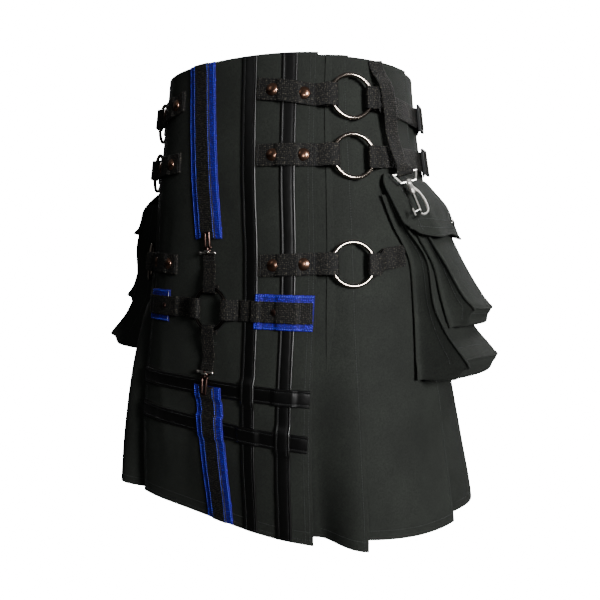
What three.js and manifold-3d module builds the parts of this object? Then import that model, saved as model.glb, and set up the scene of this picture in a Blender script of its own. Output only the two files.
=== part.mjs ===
// Denim utility kilt with a strapped and ringed front apron, four knife pleats a side and two
// bellows pockets. Millimetres, +X to the wearer's left, the front faces -Y, +Z up. The origin is
// the middle of the waist at its top edge, where the wearer holds the kilt up.
import * as THREE from 'three';
import { mergeVertices } from 'three/addons/utils/BufferGeometryUtils.js';
import Module from 'manifold-3d';

const wasm = await Module();
wasm.setup();

// Cloth and trim
const LENGTH = 610;         // waist to hem, a 24 inch kilt
const DENIM = 1.5;          // cloth wall
const SEAM = 0.3;           // clearance between neighbouring pieces
const STACK = 0.7;          // clearance between a layer and what it lies on
const TOP_DROP = 2.5;       // the sides and under apron end this much below the apron's top
const APRON_OUT = 2.4;      // inner face of the apron, out from the cloth ring's inner face
const APRON_TOP = 137;      // half width of the apron along the cloth at the waist
const APRON_HEM = 159;      // the same at the hem
const UNDERLAP = 28;        // how far the sides run on under the apron's edge
const APRON_KICK = 19;      // how far the apron's corner swings out at the hem

// Knife pleats, folds facing the back
// Fold lines, as a share of the way from the front to the back middle at waist and hem, and how
// far each fold swings out at the hem on the wearer's left and right
const FOLDS = [
  { waist: 0.33, hem: 0.297, left: 24, right: 20 },
  { waist: 0.53, hem: 0.505, left: 6, right: 20 },
  { waist: 0.735, hem: 0.72, left: 14, right: 14 },
  { waist: 0.94, hem: 0.94, left: 12, right: 12 },
];
const TUCK_TOP = 26;        // width of cloth tucked under a fold at the waist
const TUCK_HEM = 44;
const LAYER = 2.3;          // middle to middle of two folded layers
const OPEN_FROM = 325;      // depth where the pleats start to open
const OPENING = { left: 1.3, right: 0.5 }; // how late they open below it
const VALLEY = 8;           // how far the cloth beside a fold sinks in at the hem

// Webbing, leather and metal
const WEB = 1.4;            // webbing and strap thickness
const STRAP = 28;           // black strap width
const BLUE = 49;            // blue webbing width
const BLUE_LIE = 28;        // black webbing sewn along the blue one
const LEATHER = 2.0;
const RAMP = 5;             // length over which a strip climbs onto another
const CLEAR = 2.5;          // how far beside a strip the climb is over
const RING_IN = 25;         // ring inner radius
const WIRE = 5;             // ring wire diameter
const RIVET = 8;            // rivet cap radius
const RIVET_RISE = 3.4;

// Outline of the cloth at depths below the waist: half width, half depth, how far the middle lies
// back, and how square the section is
const BODY = [
  { depth: 0, width: 180, front: 146, back: 0, square: 2.25 },
  { depth: 80, width: 187, front: 153, back: 2, square: 2.3 },
  { depth: 160, width: 198, front: 161, back: 7, square: 2.35 },
  { depth: 250, width: 209, front: 165, back: 13, square: 2.4 },
  { depth: 340, width: 219, front: 171, back: 16, square: 2.5 },
  { depth: 430, width: 233, front: 178, back: 19, square: 2.6 },
  { depth: 520, width: 244, front: 180, back: 24, square: 2.8 },
  { depth: 610, width: 254, front: 177, back: 31, square: 3.0 },
];

// Strips down the apron: middle at the waist and at the hem, along the cloth
const UPRIGHTS = [
  { name: 'leather_upright_inner', top: 50, hem: 75, width: 20 },
  { name: 'leather_upright_outer', top: 103, hem: 124, width: 19 },
];
const CROSSBARS = [
  { name: 'leather_crossbar_upper', right: 431, left: 432, width: 21 },
  { name: 'leather_crossbar_lower', right: 481, left: 487, width: 21 },
];
const CROSSBAR_REACH = 150; // half length of a crossbar
const BLUES = [
  { name: 'upper', from: 0, to: 234, start: -31, end: -10 },
  { name: 'lower', from: 429, to: LENGTH, start: 0, end: 19 },
];
const HARNESS = { depth: 327, ring: 2, patchIn: 71, patchOut: 147, patch: 45, web: 27 };
const LOOPS = [
  { name: 'upper', from: 256, to: 303, start: -7, end: 0 },
  { name: 'lower', from: 351, to: 408, start: 8, end: -2 },
];
const CLASPS = [
  { name: 'upper', depth: 243, at: -13, turn: 1, level: 5 },
  { name: 'lower', depth: 416, at: 0, turn: -1, level: 8 },
];

// Straps with a ring each side of the apron: depth at the strap's start and at the ring, where the
// strap starts, its two rivets, the ring's middle, the buckle, how far the strap sinks on its way
// there, and where it is sewn down
const STRAPS = [
  { level: 1, from: 44, depth: 55, start: 64, rivets: [84, 123], ring: 180, buckle: 322, drop: 6,
    endLeft: 372, endRight: 372 },
  { level: 2, from: 129, depth: 130, start: 67, rivets: [89, 127], ring: 187, buckle: 332, drop: -8,
    endLeft: 382, endRight: 382 },
  { level: 3, from: 269, depth: 265, start: 73, rivets: [93, 131], ring: 190, buckle: 0, drop: -20,
    endLeft: 259, endRight: 241 },
];
const RING_OUT = 10.4;      // ring middle, out from the cloth ring's inner face

// Bellows pocket: at each depth the front and back roots along the cloth, and how far its face
// and the smaller pocket's face stand out
const POCKET = [
  { depth: 176, front: 231, back: 428, stand: 12, small: 12 },
  { depth: 215, front: 250, back: 446, stand: 17, small: 26 },
  { depth: 265, front: 283, back: 474, stand: 26, small: 44 },
  { depth: 315, front: 290, back: 482, stand: 34, small: 68 },
  { depth: 345, front: 292, back: 485, stand: 44, small: 68 },
  { depth: 386, front: 294, back: 487, stand: 66, small: 68 },
];
// The right pocket sits further forward than the left, and hangs fuller by this much
const POCKET_SHIFT = { left: 0, right: -20 };
const POCKET_FULLER = [
  { depth: 148, left: 0, right: 0 }, { depth: 182, left: 0, right: 20 },
  { depth: 224, left: 0, right: 34 }, { depth: 246, left: 0, right: 48 },
  { depth: 274, left: 0, right: 54 }, { depth: 300, left: 0, right: 45 },
  { depth: 386, left: 0, right: 33 },
];
const FACE_INSET = 6;       // how far a pocket's face is set in from its root
const SMALL_INSET = 15;     // the smaller pocket's root, in from the bigger one's face edge
const FLAP = [
  { depth: 148, front: 232, back: 420, stand: 9.3, edge: 7.1 },
  { depth: 160, front: 228, back: 425, stand: 18, edge: 12 },
  { depth: 182, front: 236, back: 434, stand: 32.5, edge: 17 },
  { depth: 204, front: 246, back: 443, stand: 38.5, edge: 20 },
  { depth: 224, front: 255, back: 452, stand: 43.5, edge: 23 },
];
const POCKET_WALL = 1.6;

const clamp = THREE.MathUtils.clamp;
const lerp = THREE.MathUtils.lerp;
const smooth = (t) => THREE.MathUtils.smoothstep(t, 0, 1);
const share = (depth) => clamp(depth / LENGTH, 0, 1);
const apronHalf = (depth) => lerp(APRON_TOP, APRON_HEM, share(depth));

// A value of a table at a depth, on a curve through its rows
function rowAt(table, column, depth) {
  const last = table.length - 1;
  let i = 0;
  while (i < last - 1 && depth > table[i + 1].depth) i += 1;
  const t = (depth - table[i].depth) / (table[i + 1].depth - table[i].depth);
  const [before, a, b, after] = [Math.max(i - 1, 0), i, i + 1, Math.min(i + 2, last)]
    .map((k) => table[k][column]);
  return a + 0.5 * t * (b - before + t * (2 * before - 5 * a + 4 * b - after
    + t * (3 * (a - b) + after - before)));
}

function lineAt(table, column, depth) {
  let i = 0;
  while (i < table.length - 2 && depth > table[i + 1].depth) i += 1;
  const t = clamp((depth - table[i].depth) / (table[i + 1].depth - table[i].depth), 0, 1);
  return lerp(table[i][column], table[i + 1][column], t);
}

// One level section of the cloth, as points by their distance along it from the front middle
const SECTION_STEPS = 720;
const sections = new Map();

function sectionAt(depth) {
  const key = depth.toFixed(2);
  if (sections.has(key)) return sections.get(key);
  const [width, front, back, square] = ['width', 'front', 'back', 'square']
    .map((column) => rowAt(BODY, column, depth));
  const bend = (value) => Math.sign(value) * Math.abs(value) ** (2 / square);
  const points = [];
  let run = 0;
  for (let i = 0; i <= SECTION_STEPS; i += 1) {
    const angle = (i / SECTION_STEPS) * Math.PI;
    const x = width * bend(Math.sin(angle));
    const y = back - front * bend(Math.cos(angle));
    if (i > 0) run += Math.hypot(x - points[i - 1].x, y - points[i - 1].y);
    points.push({ run, x, y });
  }
  sections.set(key, points);
  return points;
}

const halfRound = (depth) => sectionAt(depth)[SECTION_STEPS].run;

function along(depth, run) {
  const points = sectionAt(depth);
  const total = points[SECTION_STEPS].run;
  let distance = Math.abs(run);
  let side = Math.sign(run) || 1;
  if (distance > total) {
    distance = 2 * total - distance;
    side = -side;
  }
  let low = 0;
  let high = SECTION_STEPS;
  while (high - low > 1) {
    const middle = (low + high) >> 1;
    if (points[middle].run <= distance) low = middle;
    else high = middle;
  }
  const t = (distance - points[low].run) / (points[high].run - points[low].run);
  return new THREE.Vector3(
    side * lerp(points[low].x, points[high].x, t), lerp(points[low].y, points[high].y, t), -depth);
}

// The frame on the cloth at a distance round from the front middle and a depth below the waist
function frameAt(run, depth, out = 0) {
  const place = along(depth, run);
  const round = along(depth, run + 2).sub(along(depth, run - 2)).setZ(0).normalize();
  const normal = new THREE.Vector3(round.y, -round.x, 0);
  return { place: place.addScaledVector(normal, out), round, normal };
}

const skin = (run, depth, out) => frameAt(run, depth, out).place;

// The way up the cloth at a place, square to the way round
function uphill(run, depth, out = 0) {
  const { round } = frameAt(run, depth);
  const up = skin(run, depth - 20, out).sub(skin(run, depth + 20, out));
  return up.addScaledVector(round, -up.dot(round)).normalize();
}

// A closed wall between two grids of points, its faces turned outwards
function wall(inner, outer) {
  const rows = inner.length;
  const columns = inner[0].length;
  const points = [...inner.flat(), ...outer.flat()];
  const half = rows * columns;
  const triangles = [];
  const quad = (a, b, c, d) => triangles.push(a, b, c, a, c, d);
  for (let i = 0; i < rows - 1; i += 1) {
    for (let j = 0; j < columns - 1; j += 1) {
      const a = i * columns + j;
      const [b, c, d] = [a + 1, a + columns + 1, a + columns];
      quad(a, b, c, d);
      quad(half + a, half + d, half + c, half + b);
    }
  }
  const rim = [];
  for (let j = 0; j < columns; j += 1) rim.push(j);
  for (let i = 1; i < rows; i += 1) rim.push(i * columns + columns - 1);
  for (let j = columns - 2; j >= 0; j -= 1) rim.push((rows - 1) * columns + j);
  for (let i = rows - 2; i > 0; i -= 1) rim.push(i * columns);
  rim.forEach((a, k) => {
    const b = rim[(k + 1) % rim.length];
    quad(b, a, half + a, half + b);
  });
  return solid(points, triangles);
}

function solid(points, triangles) {
  let volume = 0;
  const cross = new THREE.Vector3();
  for (let i = 0; i < triangles.length; i += 3) {
    const [a, b, c] = [0, 1, 2].map((k) => points[triangles[i + k]]);
    volume += a.dot(cross.crossVectors(b, c));
  }
  const order = volume < 0 ? [0, 2, 1] : [0, 1, 2];
  const index = [];
  for (let i = 0; i < triangles.length; i += 3) order.forEach((k) => index.push(triangles[i + k]));
  const geometry = new THREE.BufferGeometry();
  geometry.setAttribute('position',
    new THREE.Float32BufferAttribute(points.flatMap((p) => [p.x, p.y, p.z]), 3));
  geometry.setIndex(index);
  return geometry;
}

// A flat strip through rows of a point on its inner face, its thickness way and its width way
function ribbon(rows, width, thick) {
  const side = (way) => rows.map(({ place, up, wide }) => [-0.5, 0.5]
    .map((end) => place.clone().addScaledVector(wide, end * width).addScaledVector(up, way)));
  return wall(side(0), side(thick));
}

// Even stations from one value to another, with the edges of what is crossed added
function stations(from, to, step, extra = []) {
  const count = Math.max(1, Math.round((to - from) / step));
  const even = Array.from({ length: count + 1 }, (_, i) => lerp(from, to, i / count));
  const inside = extra.filter((value) => value > from + 1 && value < to - 1);
  const kept = even.filter((value) => value === from || value === to
    || inside.every((other) => Math.abs(value - other) > 0.3 * step));
  return [...kept, ...inside].sort((a, b) => a - b);
}

// A layer laid on the cloth: a grid of distances and depths moved out by its level
function laid(runs, depths, level, thick, runAt = (run) => run, depthAt = (run, depth) => depth) {
  const grid = (more) => depths.map((depth) => runs.map((run) => {
    const [at, down] = [runAt(run, depth), depthAt(run, depth)];
    return skin(at, down, level(at, down) + more);
  }));
  return wall(grid(0), grid(thick));
}

// Closed solids joined or cut with the library
function toSolid(geometry) {
  const bare = geometry.clone();
  bare.deleteAttribute('normal');
  bare.deleteAttribute('uv');
  const merged = mergeVertices(bare, 1e-4);
  return new wasm.Manifold(new wasm.Mesh({
    numProp: 3,
    vertProperties: new Float32Array(merged.attributes.position.array),
    triVerts: new Uint32Array(merged.index.array),
  }));
}

function fromSolid(body) {
  const mesh = body.getMesh();
  const geometry = new THREE.BufferGeometry();
  geometry.setAttribute('position', new THREE.BufferAttribute(mesh.vertProperties, 3));
  geometry.setIndex(new THREE.BufferAttribute(mesh.triVerts, 1));
  return geometry;
}

const join = (first, ...others) => fromSolid(
  others.reduce((sum, other) => sum.add(toSolid(other)), toSolid(first)));

function mirrored(geometry) {
  const copy = geometry.clone().scale(-1, 1, 1);
  const index = copy.index.array;
  for (let i = 0; i < index.length; i += 3) [index[i + 1], index[i + 2]] = [index[i + 2], index[i + 1]];
  return copy;
}

// Places a geometry made round the origin in a frame of three directions
function placed(geometry, place, right, ahead, up) {
  return geometry.applyMatrix4(new THREE.Matrix4().makeBasis(right, ahead, up).setPosition(place));
}

const DEPTHS = [0, 55, 120, 190, 260, 325, 390, 450, 505, 560, LENGTH];
const kilt = new THREE.Group();
kilt.name = 'denim_utility_kilt';

const MATERIALS = {
  denim: { color: 0x23272a, roughness: 0.92, metalness: 0 },
  blue: { color: 0x2f3bb0, roughness: 0.8, metalness: 0 },
  webbing: { color: 0x17181a, roughness: 0.75, metalness: 0 },
  leather: { color: 0x0b0b0c, roughness: 0.32, metalness: 0 },
  nickel: { color: 0xb9b4ad, roughness: 0.22, metalness: 1 },
  gunmetal: { color: 0x3c3733, roughness: 0.3, metalness: 1 },
  plastic: { color: 0x101112, roughness: 0.5, metalness: 0 },
};

function add(name, geometry, material) {
  const mesh = new THREE.Mesh(geometry, new THREE.MeshStandardMaterial(MATERIALS[material]));
  mesh.name = name;
  kilt.add(mesh);
}

// Adds a piece of the wearer's left side and its twin on the right side
function addPair(name, geometry, material) {
  add(`${name}_left`, geometry, material);
  add(`${name}_right`, mirrored(geometry), material);
}

// Cloth sides: one wall each, folded into knife pleats
const foldRun = (k, depth) => lerp(FOLDS[k].waist, FOLDS[k].hem, share(depth)) * halfRound(depth);
const tuckAt = (depth) => lerp(TUCK_TOP, TUCK_HEM, share(depth));
const opened = (depth, side = 'left') => clamp(
  (depth - OPEN_FROM) / (LENGTH - OPEN_FROM), 0, 1) ** OPENING[side];
const valleyAt = (depth) => VALLEY * opened(depth);
const kickAt = (k, depth, side = 'left') => FOLDS[k][side] * opened(depth, side);
const sideStart = (depth) => apronHalf(depth) - UNDERLAP;
const FACE_STEPS = 3;

// The middle line of a side's section as pairs of distance round and level out
function pleatedLine(depth, side) {
  const base = DENIM / 2;
  const tuck = tuckAt(depth);
  const back = halfRound(depth) - SEAM / 2;
  const line = [[sideStart(depth), base]];
  let valley = apronHalf(depth);
  for (let k = 0; k < FOLDS.length; k += 1) {
    const fold = foldRun(k, depth);
    const crest = base + 2 * LAYER + kickAt(k, depth, side);
    const low = base - valleyAt(depth);
    for (let step = 0; step <= FACE_STEPS; step += 1) {
      const t = step / FACE_STEPS;
      line.push([lerp(valley, fold, t), lerp(low, crest, smooth(t))]);
    }
    line.push([fold, crest - LAYER], [fold - tuck, base + LAYER - valleyAt(depth)]);
    line.push([fold - tuck, low]);
    valley = fold;
  }
  line.push([valley, base - valleyAt(depth)], [back, base]);
  return line;
}

// Both faces of a wall of even thickness along a line, mitred at its corners
function bothFaces(line, thick) {
  const faces = [[], []];
  line.forEach((point, i) => {
    const ways = [];
    if (i > 0) ways.push([point[0] - line[i - 1][0], point[1] - line[i - 1][1]]);
    if (i < line.length - 1) ways.push([line[i + 1][0] - point[0], line[i + 1][1] - point[1]]);
    const normals = ways.map(([x, y]) => [-y / Math.hypot(x, y), x / Math.hypot(x, y)]);
    const sum = [0, 1].map((c) => normals.reduce((total, n) => total + n[c], 0));
    const size = Math.hypot(...sum);
    const reach = (thick / 2) / (size / normals.length);
    [-1, 1].forEach((way, face) => faces[face].push(
      point.map((value, c) => value + way * reach * (sum[c] / size))));
  });
  return faces;
}

function pleatedSide(side) {
  const grids = [[], []];
  DEPTHS.forEach((depth) => {
    const down = Math.max(depth, TOP_DROP);
    bothFaces(pleatedLine(down, side), DENIM).forEach((face, k) => {
      grids[k].push(face.map(([run, out]) => skin(run, down, out)));
    });
  });
  return wall(grids[0], grids[1]);
}

// Outer face of the cloth that shows on a side
function sideLevel(run, depth, side = 'left') {
  const folds = [apronHalf(depth), ...FOLDS.map((_, k) => foldRun(k, depth)), halfRound(depth)];
  let k = 0;
  while (k < folds.length - 2 && run >= folds[k + 1]) k += 1;
  const crest = k < FOLDS.length ? 2 * LAYER + kickAt(k, depth, side) + valleyAt(depth) : 0;
  const t = clamp((run - folds[k]) / (folds[k + 1] - folds[k]), 0, 1);
  return DENIM - valleyAt(depth) + crest * smooth(t);
}

// The same, evened out for what lies across the folds
const EVEN = 8;
const restLevel = (run, depth) => Math.max(
  ...[-2, -1, 0, 1, 2].map((step) => sideLevel(run + step * EVEN, depth)));

add('side_pleated_left', pleatedSide('left'), 'denim');
add('side_pleated_right', mirrored(pleatedSide('right')), 'denim');

const underRuns = stations(-1, 1, 0.17);
add('under_apron', laid(
  underRuns, DEPTHS.map((depth) => Math.max(depth, TOP_DROP)),
  () => 0, DENIM, (t, depth) => t * (sideStart(depth) - SEAM)), 'denim');

// Apron, swinging out towards its corner on the wearer's left
const apronSwing = (run, depth) => APRON_KICK * opened(depth) * smooth((run + 90) / 230);
const apronLevel = (run, depth) => APRON_OUT + apronSwing(run, depth);
const apronFace = (run, depth) => apronLevel(run, depth) + DENIM;
const APRON_COLUMNS = stations(-1, 1, 0.12);
add('apron', laid(
  APRON_COLUMNS, DEPTHS, apronLevel, DENIM, (t, depth) => t * apronHalf(depth)), 'denim');

// Strips on the apron. Each knows its footprint, so that the next one can climb over it.
const cover = (distance, half) => 1 - smooth((Math.abs(distance) - half - CLEAR) / RAMP);

function strip(values, beneath, thick) {
  const level = (run, depth) => {
    const base = apronFace(run, depth) + STACK;
    return beneath.reduce((high, other) => Math.max(high,
      base + (other.level(run, depth) + other.thick + STACK - base) * other.covers(run, depth)),
    base);
  };
  return { ...values, thick, level };
}

const edges = (middle, half) => [-RAMP - CLEAR, -CLEAR].flatMap(
  (step) => [middle - half + step, middle + half - step]);

function upright(values, beneath) {
  const middle = (depth) => lerp(values.top, values.hem, share(depth));
  const made = strip(values, beneath, LEATHER);
  return { ...made, middle, covers: (run, depth) => cover(run - middle(depth), values.width / 2) };
}

function crossbar(values, beneath) {
  const middle = (run) => lerp(values.right, values.left, (run + CROSSBAR_REACH) / (2 * CROSSBAR_REACH));
  const made = strip(values, beneath, LEATHER);
  return {
    ...made,
    middle,
    covers: (run, depth) => cover(depth - middle(run), values.width / 2)
      * cover(run, CROSSBAR_REACH),
  };
}

const bareInner = upright(UPRIGHTS[0], []);
const bareOuter = upright(UPRIGHTS[1], []);
// The inner upright passes over the upper bar and under the lower one, the outer one does the
// opposite
const upperBar = crossbar(CROSSBARS[0], [bareOuter]);
const lowerBar = crossbar(CROSSBARS[1], [bareInner]);
const inner = upright(UPRIGHTS[0], [crossbar(CROSSBARS[0], [])]);
const outer = upright(UPRIGHTS[1], [crossbar(CROSSBARS[1], [])]);
const uprights = [inner, outer];
const bars = [upperBar, lowerBar];

uprights.forEach((piece) => {
  const half = piece.width / 2;
  const depths = stations(1, LENGTH - 1, 55,
    bars.flatMap((bar) => edges(bar.middle(piece.middle(450)), bar.width / 2)));
  add(piece.name, laid([-half, 0, half], depths, piece.level, piece.thick,
    (across, depth) => piece.middle(depth) + across), 'leather');
});

bars.forEach((bar) => {
  const half = bar.width / 2;
  const runs = stations(-CROSSBAR_REACH, CROSSBAR_REACH, 15,
    uprights.flatMap((piece) => edges(piece.middle(bar.right), piece.width / 2)));
  add(bar.name, laid(runs, [-half, half], bar.level, bar.thick,
    (run) => run, (run, across) => bar.middle(run) + across), 'leather');
});

// Blue webbing down the apron with black webbing sewn along its middle
const blues = BLUES.map((values) => {
  const middle = (depth) => lerp(values.start, values.end,
    clamp((depth - values.from) / (values.to - values.from), 0, 1));
  const made = strip({ ...values, width: BLUE }, bars, WEB);
  const inside = (depth) => cover(depth - (values.from + values.to) / 2,
    (values.to - values.from) / 2);
  return {
    ...made,
    middle,
    covers: (run, depth) => cover(run - middle(depth), BLUE / 2) * inside(depth),
  };
});

blues.forEach((piece) => {
  const edge = bars.flatMap((bar) => edges(bar.middle(0), bar.width / 2));
  const end = piece.to === LENGTH ? LENGTH - 1 : piece.to;
  const depths = stations(piece.from, end, 50, edge);
  const across = (width, count) => stations(-width / 2, width / 2, width / count);
  const runAt = (offset, depth) => piece.middle(depth) + offset;
  add(`blue_webbing_${piece.name}`,
    laid(across(BLUE, 4), depths, piece.level, WEB, runAt), 'blue');
  const lie = (run, depth) => piece.level(run, depth) + WEB + STACK;
  add(`black_webbing_${piece.name}`, laid(across(BLUE_LIE, 3), depths, lie, WEB, runAt), 'webbing');
});

// Harness: a ring in the middle held by four webbing ends, two of them sewn over blue patches
const ringDepth = HARNESS.depth;
const harnessPatch = strip({ name: 'patch', width: HARNESS.patch }, uprights, WEB);
harnessPatch.covers = (run, depth) => cover(depth - ringDepth, HARNESS.patch / 2)
  * cover(Math.abs(run) - (HARNESS.patchIn + HARNESS.patchOut) / 2,
    (HARNESS.patchOut - HARNESS.patchIn) / 2);
const patchEdges = uprights.flatMap((piece) => edges(piece.middle(ringDepth), piece.width / 2));

[['left', 1], ['right', -1]].forEach(([name, side]) => {
  const [from, to] = side > 0 ? [HARNESS.patchIn, HARNESS.patchOut]
    : [-HARNESS.patchOut, 1 - HARNESS.patchIn - 18];
  add(`blue_patch_${name}`, laid(
    stations(from, to, 13, patchEdges), [-HARNESS.patch / 2, HARNESS.patch / 2],
    harnessPatch.level, WEB, (run) => run, (run, across) => ringDepth + across), 'blue');
});

// Frame of a ring: its middle and the ways round, up and out
function ringFrame(run, depth, out) {
  const { place, round, normal } = frameAt(run, depth, out);
  const up = uphill(run, depth, out);
  const face = new THREE.Vector3().crossVectors(round, up);
  if (face.dot(normal) < 0) face.negate();
  return { place, round, up, face };
}

function ringGeometry({ place, round, up, face }) {
  const torus = new THREE.TorusGeometry(RING_IN + WIRE / 2, WIRE / 2, 6, 22);
  return placed(closed(torus), place, round, up, face);
}

function closed(geometry) {
  const bare = geometry.clone();
  bare.deleteAttribute('normal');
  bare.deleteAttribute('uv');
  return mergeVertices(bare, 1e-4);
}

// Rows of a webbing end folded round a ring's wire. The way runs from the ring's middle to the
// strap, in the ring's plane.
const WRAP = WIRE / 2 + 0.45;
function foldRows(frame, way, wide, width) {
  const inRing = Math.sqrt(RING_IN ** 2 - (width / 2) ** 2) - 0.6;
  const spots = [
    [RING_IN + WIRE + 5, WRAP, 0, 1], [inRing + 1.5, WRAP, -0.3, 1], [inRing, 1.4, -0.9, 0.5],
    [inRing, -1.4, -0.9, -0.5], [inRing + 1.5, -WRAP, -0.3, -1], [RING_IN + WIRE + 3, -WRAP, 0, -1],
  ];
  return spots.map(([distance, out, turn, lift]) => ({
    place: frame.place.clone().addScaledVector(way, distance).addScaledVector(frame.face, out),
    up: new THREE.Vector3().addScaledVector(way, turn).addScaledVector(frame.face, lift)
      .normalize(),
    wide,
  }));
}

// Rows of a strap lying on the cloth along it, its width up and down
function lyingRows(runs, depthOf, outOf, way) {
  return runs.map((run) => {
    const depth = depthOf(run);
    const { place, normal } = frameAt(run, depth, outOf(run, depth));
    return { place, up: normal.clone().multiplyScalar(way), wide: uphill(run, depth) };
  });
}

const HARNESS_OUT = 12.5;
const ringOfHarness = ringFrame(HARNESS.ring, ringDepth, HARNESS_OUT);
add('harness_ring', ringGeometry(ringOfHarness), 'nickel');

[['left', 1], ['right', -1]].forEach(([name, side]) => {
  const reach = RING_IN + WIRE + 9;
  const from = HARNESS.ring + side * reach;
  const to = side * (HARNESS.patchOut - 1);
  const onto = (run, depth) => {
    const base = Math.max(apronFace(run, depth) + STACK,
      ...uprights.map((piece) => apronFace(run, depth) + STACK
        + (piece.level(run, depth) + piece.thick - apronFace(run, depth)) * piece.covers(run, depth)));
    const patch = harnessPatch.level(run, depth) + WEB + 2.5 * STACK;
    return base + Math.max(0, patch - base) * harnessPatch.covers(run, depth);
  };
  const extra = [...patchEdges, HARNESS.patchIn - RAMP - 1, -HARNESS.patchIn - 11];
  const runs = stations(Math.min(from, to), Math.max(from, to), 13, extra);
  const order = side > 0 ? [...runs].reverse() : runs;
  const rows = [
    ...lyingRows(order.slice(0, -1), () => ringDepth, onto, 1),
    ...foldRows(ringOfHarness, ringOfHarness.round.clone().multiplyScalar(side),
      ringOfHarness.up, HARNESS.web),
  ];
  add(`harness_web_${name}`, ribbon(rows, HARNESS.web, WEB), 'webbing');
});

LOOPS.forEach((loop, k) => {
  const side = k === 0 ? 1 : -1;
  const middle = (depth) => lerp(loop.start, loop.end, (depth - loop.from) / (loop.to - loop.from));
  const ends = side > 0 ? [loop.from, lerp(loop.from, loop.to, 0.3)]
    : [loop.to, lerp(loop.to, loop.from, 0.3)];
  const rows = ends.map((depth) => {
    const { place, round, normal } = frameAt(middle(depth), depth,
      apronFace(0, depth) + STACK + 2.4);
    return { place, up: normal, wide: round };
  });
  const way = ringOfHarness.up.clone().multiplyScalar(side);
  rows.push(...foldRows(ringOfHarness, way, ringOfHarness.round, 22));
  add(`harness_web_${loop.name}`, ribbon(rows, 22, WEB), 'webbing');
});

// Clasps between the blue webbing and the harness: a forked body on a crossbar
const CLASP_THICK = 4;
function claspGeometry() {
  const shape = new THREE.Shape();
  const outline = [[-9, -7], [9, -7], [9, -3.5], [6, -2], [6.5, 4], [8, 6], [8, 13], [5, 13],
    [4.2, 7], [-4.2, 7], [-5, 13], [-8, 13], [-8, 6], [-6.5, 4], [-6, -2], [-9, -3.5]];
  outline.forEach(([x, y], i) => (i ? shape.lineTo(x, y) : shape.moveTo(x, y)));
  return closed(new THREE.ExtrudeGeometry(shape, { depth: CLASP_THICK, bevelEnabled: false }));
}

CLASPS.forEach((clasp) => {
  const level = apronFace(clasp.at, clasp.depth) + clasp.level;
  const { place, round, up, face } = ringFrame(clasp.at, clasp.depth, level);
  add(`clasp_${clasp.name}`, placed(claspGeometry(), place,
    round.clone().multiplyScalar(clasp.turn), up.clone().multiplyScalar(clasp.turn), face), 'gunmetal');
});

// Straps that hold the apron, with a ring each side
const strapDepth = (values) => (run) => values.depth
  + (values.drop) * clamp((run - values.ring) / 120, 0, 1);

function rivetGeometry(run, depth, high) {
  const profile = [[0, -0.4], [RIVET, -0.4], [RIVET, 0.9], [RIVET * 0.7, RIVET_RISE * 0.8],
    [0, RIVET_RISE]];
  const lathe = new THREE.LatheGeometry(profile.map(([x, y]) => new THREE.Vector2(x, y)), 10);
  const { place, round, up, face } = ringFrame(run, depth, high);
  return placed(closed(lathe), place, round, face, up.clone().negate());
}

const frontLevel = (run, depth) => outer.covers(run, depth) * (LEATHER + STACK)
  + (run < apronHalf(depth) + 12 ? apronFace(run, depth) : restLevel(run, depth)) + STACK;

STRAPS.forEach((values) => {
  const { level, depth, ring } = values;
  const frame = ringFrame(ring, depth, RING_OUT);
  const reach = RING_IN + WIRE + 12;
  const depthOf = (run) => lerp(values.from, depth,
    clamp((run - values.start) / (ring - reach - values.start), 0, 1));
  const runs = stations(values.start, ring - reach, 19,
    edges(outer.middle(depth), outer.width / 2));
  const upper = lyingRows(runs, depthOf, (run, down) => frontLevel(run, down) + WEB + SEAM, 1);
  const lower = lyingRows([...runs].reverse(), depthOf,
    (run, down) => frontLevel(run, down) + WEB, -1);
  const back = frame.round.clone().negate();
  const rows = [...upper, ...foldRows(frame, back, frame.up, STRAP), ...lower];
  const rivets = values.rivets.map((run) => {
    const depthAt = depthOf(run);
    return rivetGeometry(run, depthAt, frontLevel(run, depthAt) + 2 * WEB + SEAM);
  });
  addPair(`strap_front_${level}`, join(ribbon(rows, STRAP, WEB), ...rivets), 'webbing');
  addPair(`ring_${level}`, ringGeometry(frame), 'nickel');
});

// Straps from the rings back to the hips, with a slide buckle on the two upper ones
const SLIDE = { half: 14, bar: 3, thick: 3, tall: 36, lift: 4.2 };
const SIDE_STACK = 1.1;     // clearance of a strap that lies across the folds

function sideStrap(values, end) {
  const { depth, ring, buckle } = values;
  const depthOf = strapDepth(values);
  const frame = ringFrame(ring, depth, RING_OUT);
  const first = ring + RING_IN + WIRE + 12;
  const doubled = first + 20;
  const zone = SLIDE.half + 7;
  const level = (run, down) => SIDE_STACK + (buckle && Math.abs(run - buckle) < zone
    ? Math.max(restLevel(buckle - zone, down), restLevel(buckle + zone, down))
    : restLevel(run, down));
  const extra = buckle
    ? [-zone - 4, -zone + 1, -SLIDE.half + 1, -SLIDE.bar - 1, SLIDE.bar + 1, SLIDE.half - 1,
      zone - 1, zone + 4].map((step) => buckle + step) : [];
  const runs = stations(first, end, 15, [...extra, doubled + 6, doubled]);
  const over = (run) => (buckle ? (SLIDE.lift + SLIDE.thick + STACK)
    * (1 - smooth((Math.abs(run - buckle) - SLIDE.bar) / (SLIDE.half - 1 - SLIDE.bar))) : 0);
  const out = (run, down) => level(run, down) + over(run)
    + (WEB + SEAM) * (1 - smooth((run - doubled) / 6));
  const upper = lyingRows([...runs].reverse(), depthOf, out, 1);
  const lower = lyingRows(runs.filter((run) => run <= doubled), depthOf,
    (run, down) => level(run, down) + WEB, -1);
  const rows = [...upper, ...foldRows(frame, frame.round, frame.up, STRAP), ...lower];
  return { strap: ribbon(rows, STRAP, WEB), depthOf, level };
}

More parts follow.
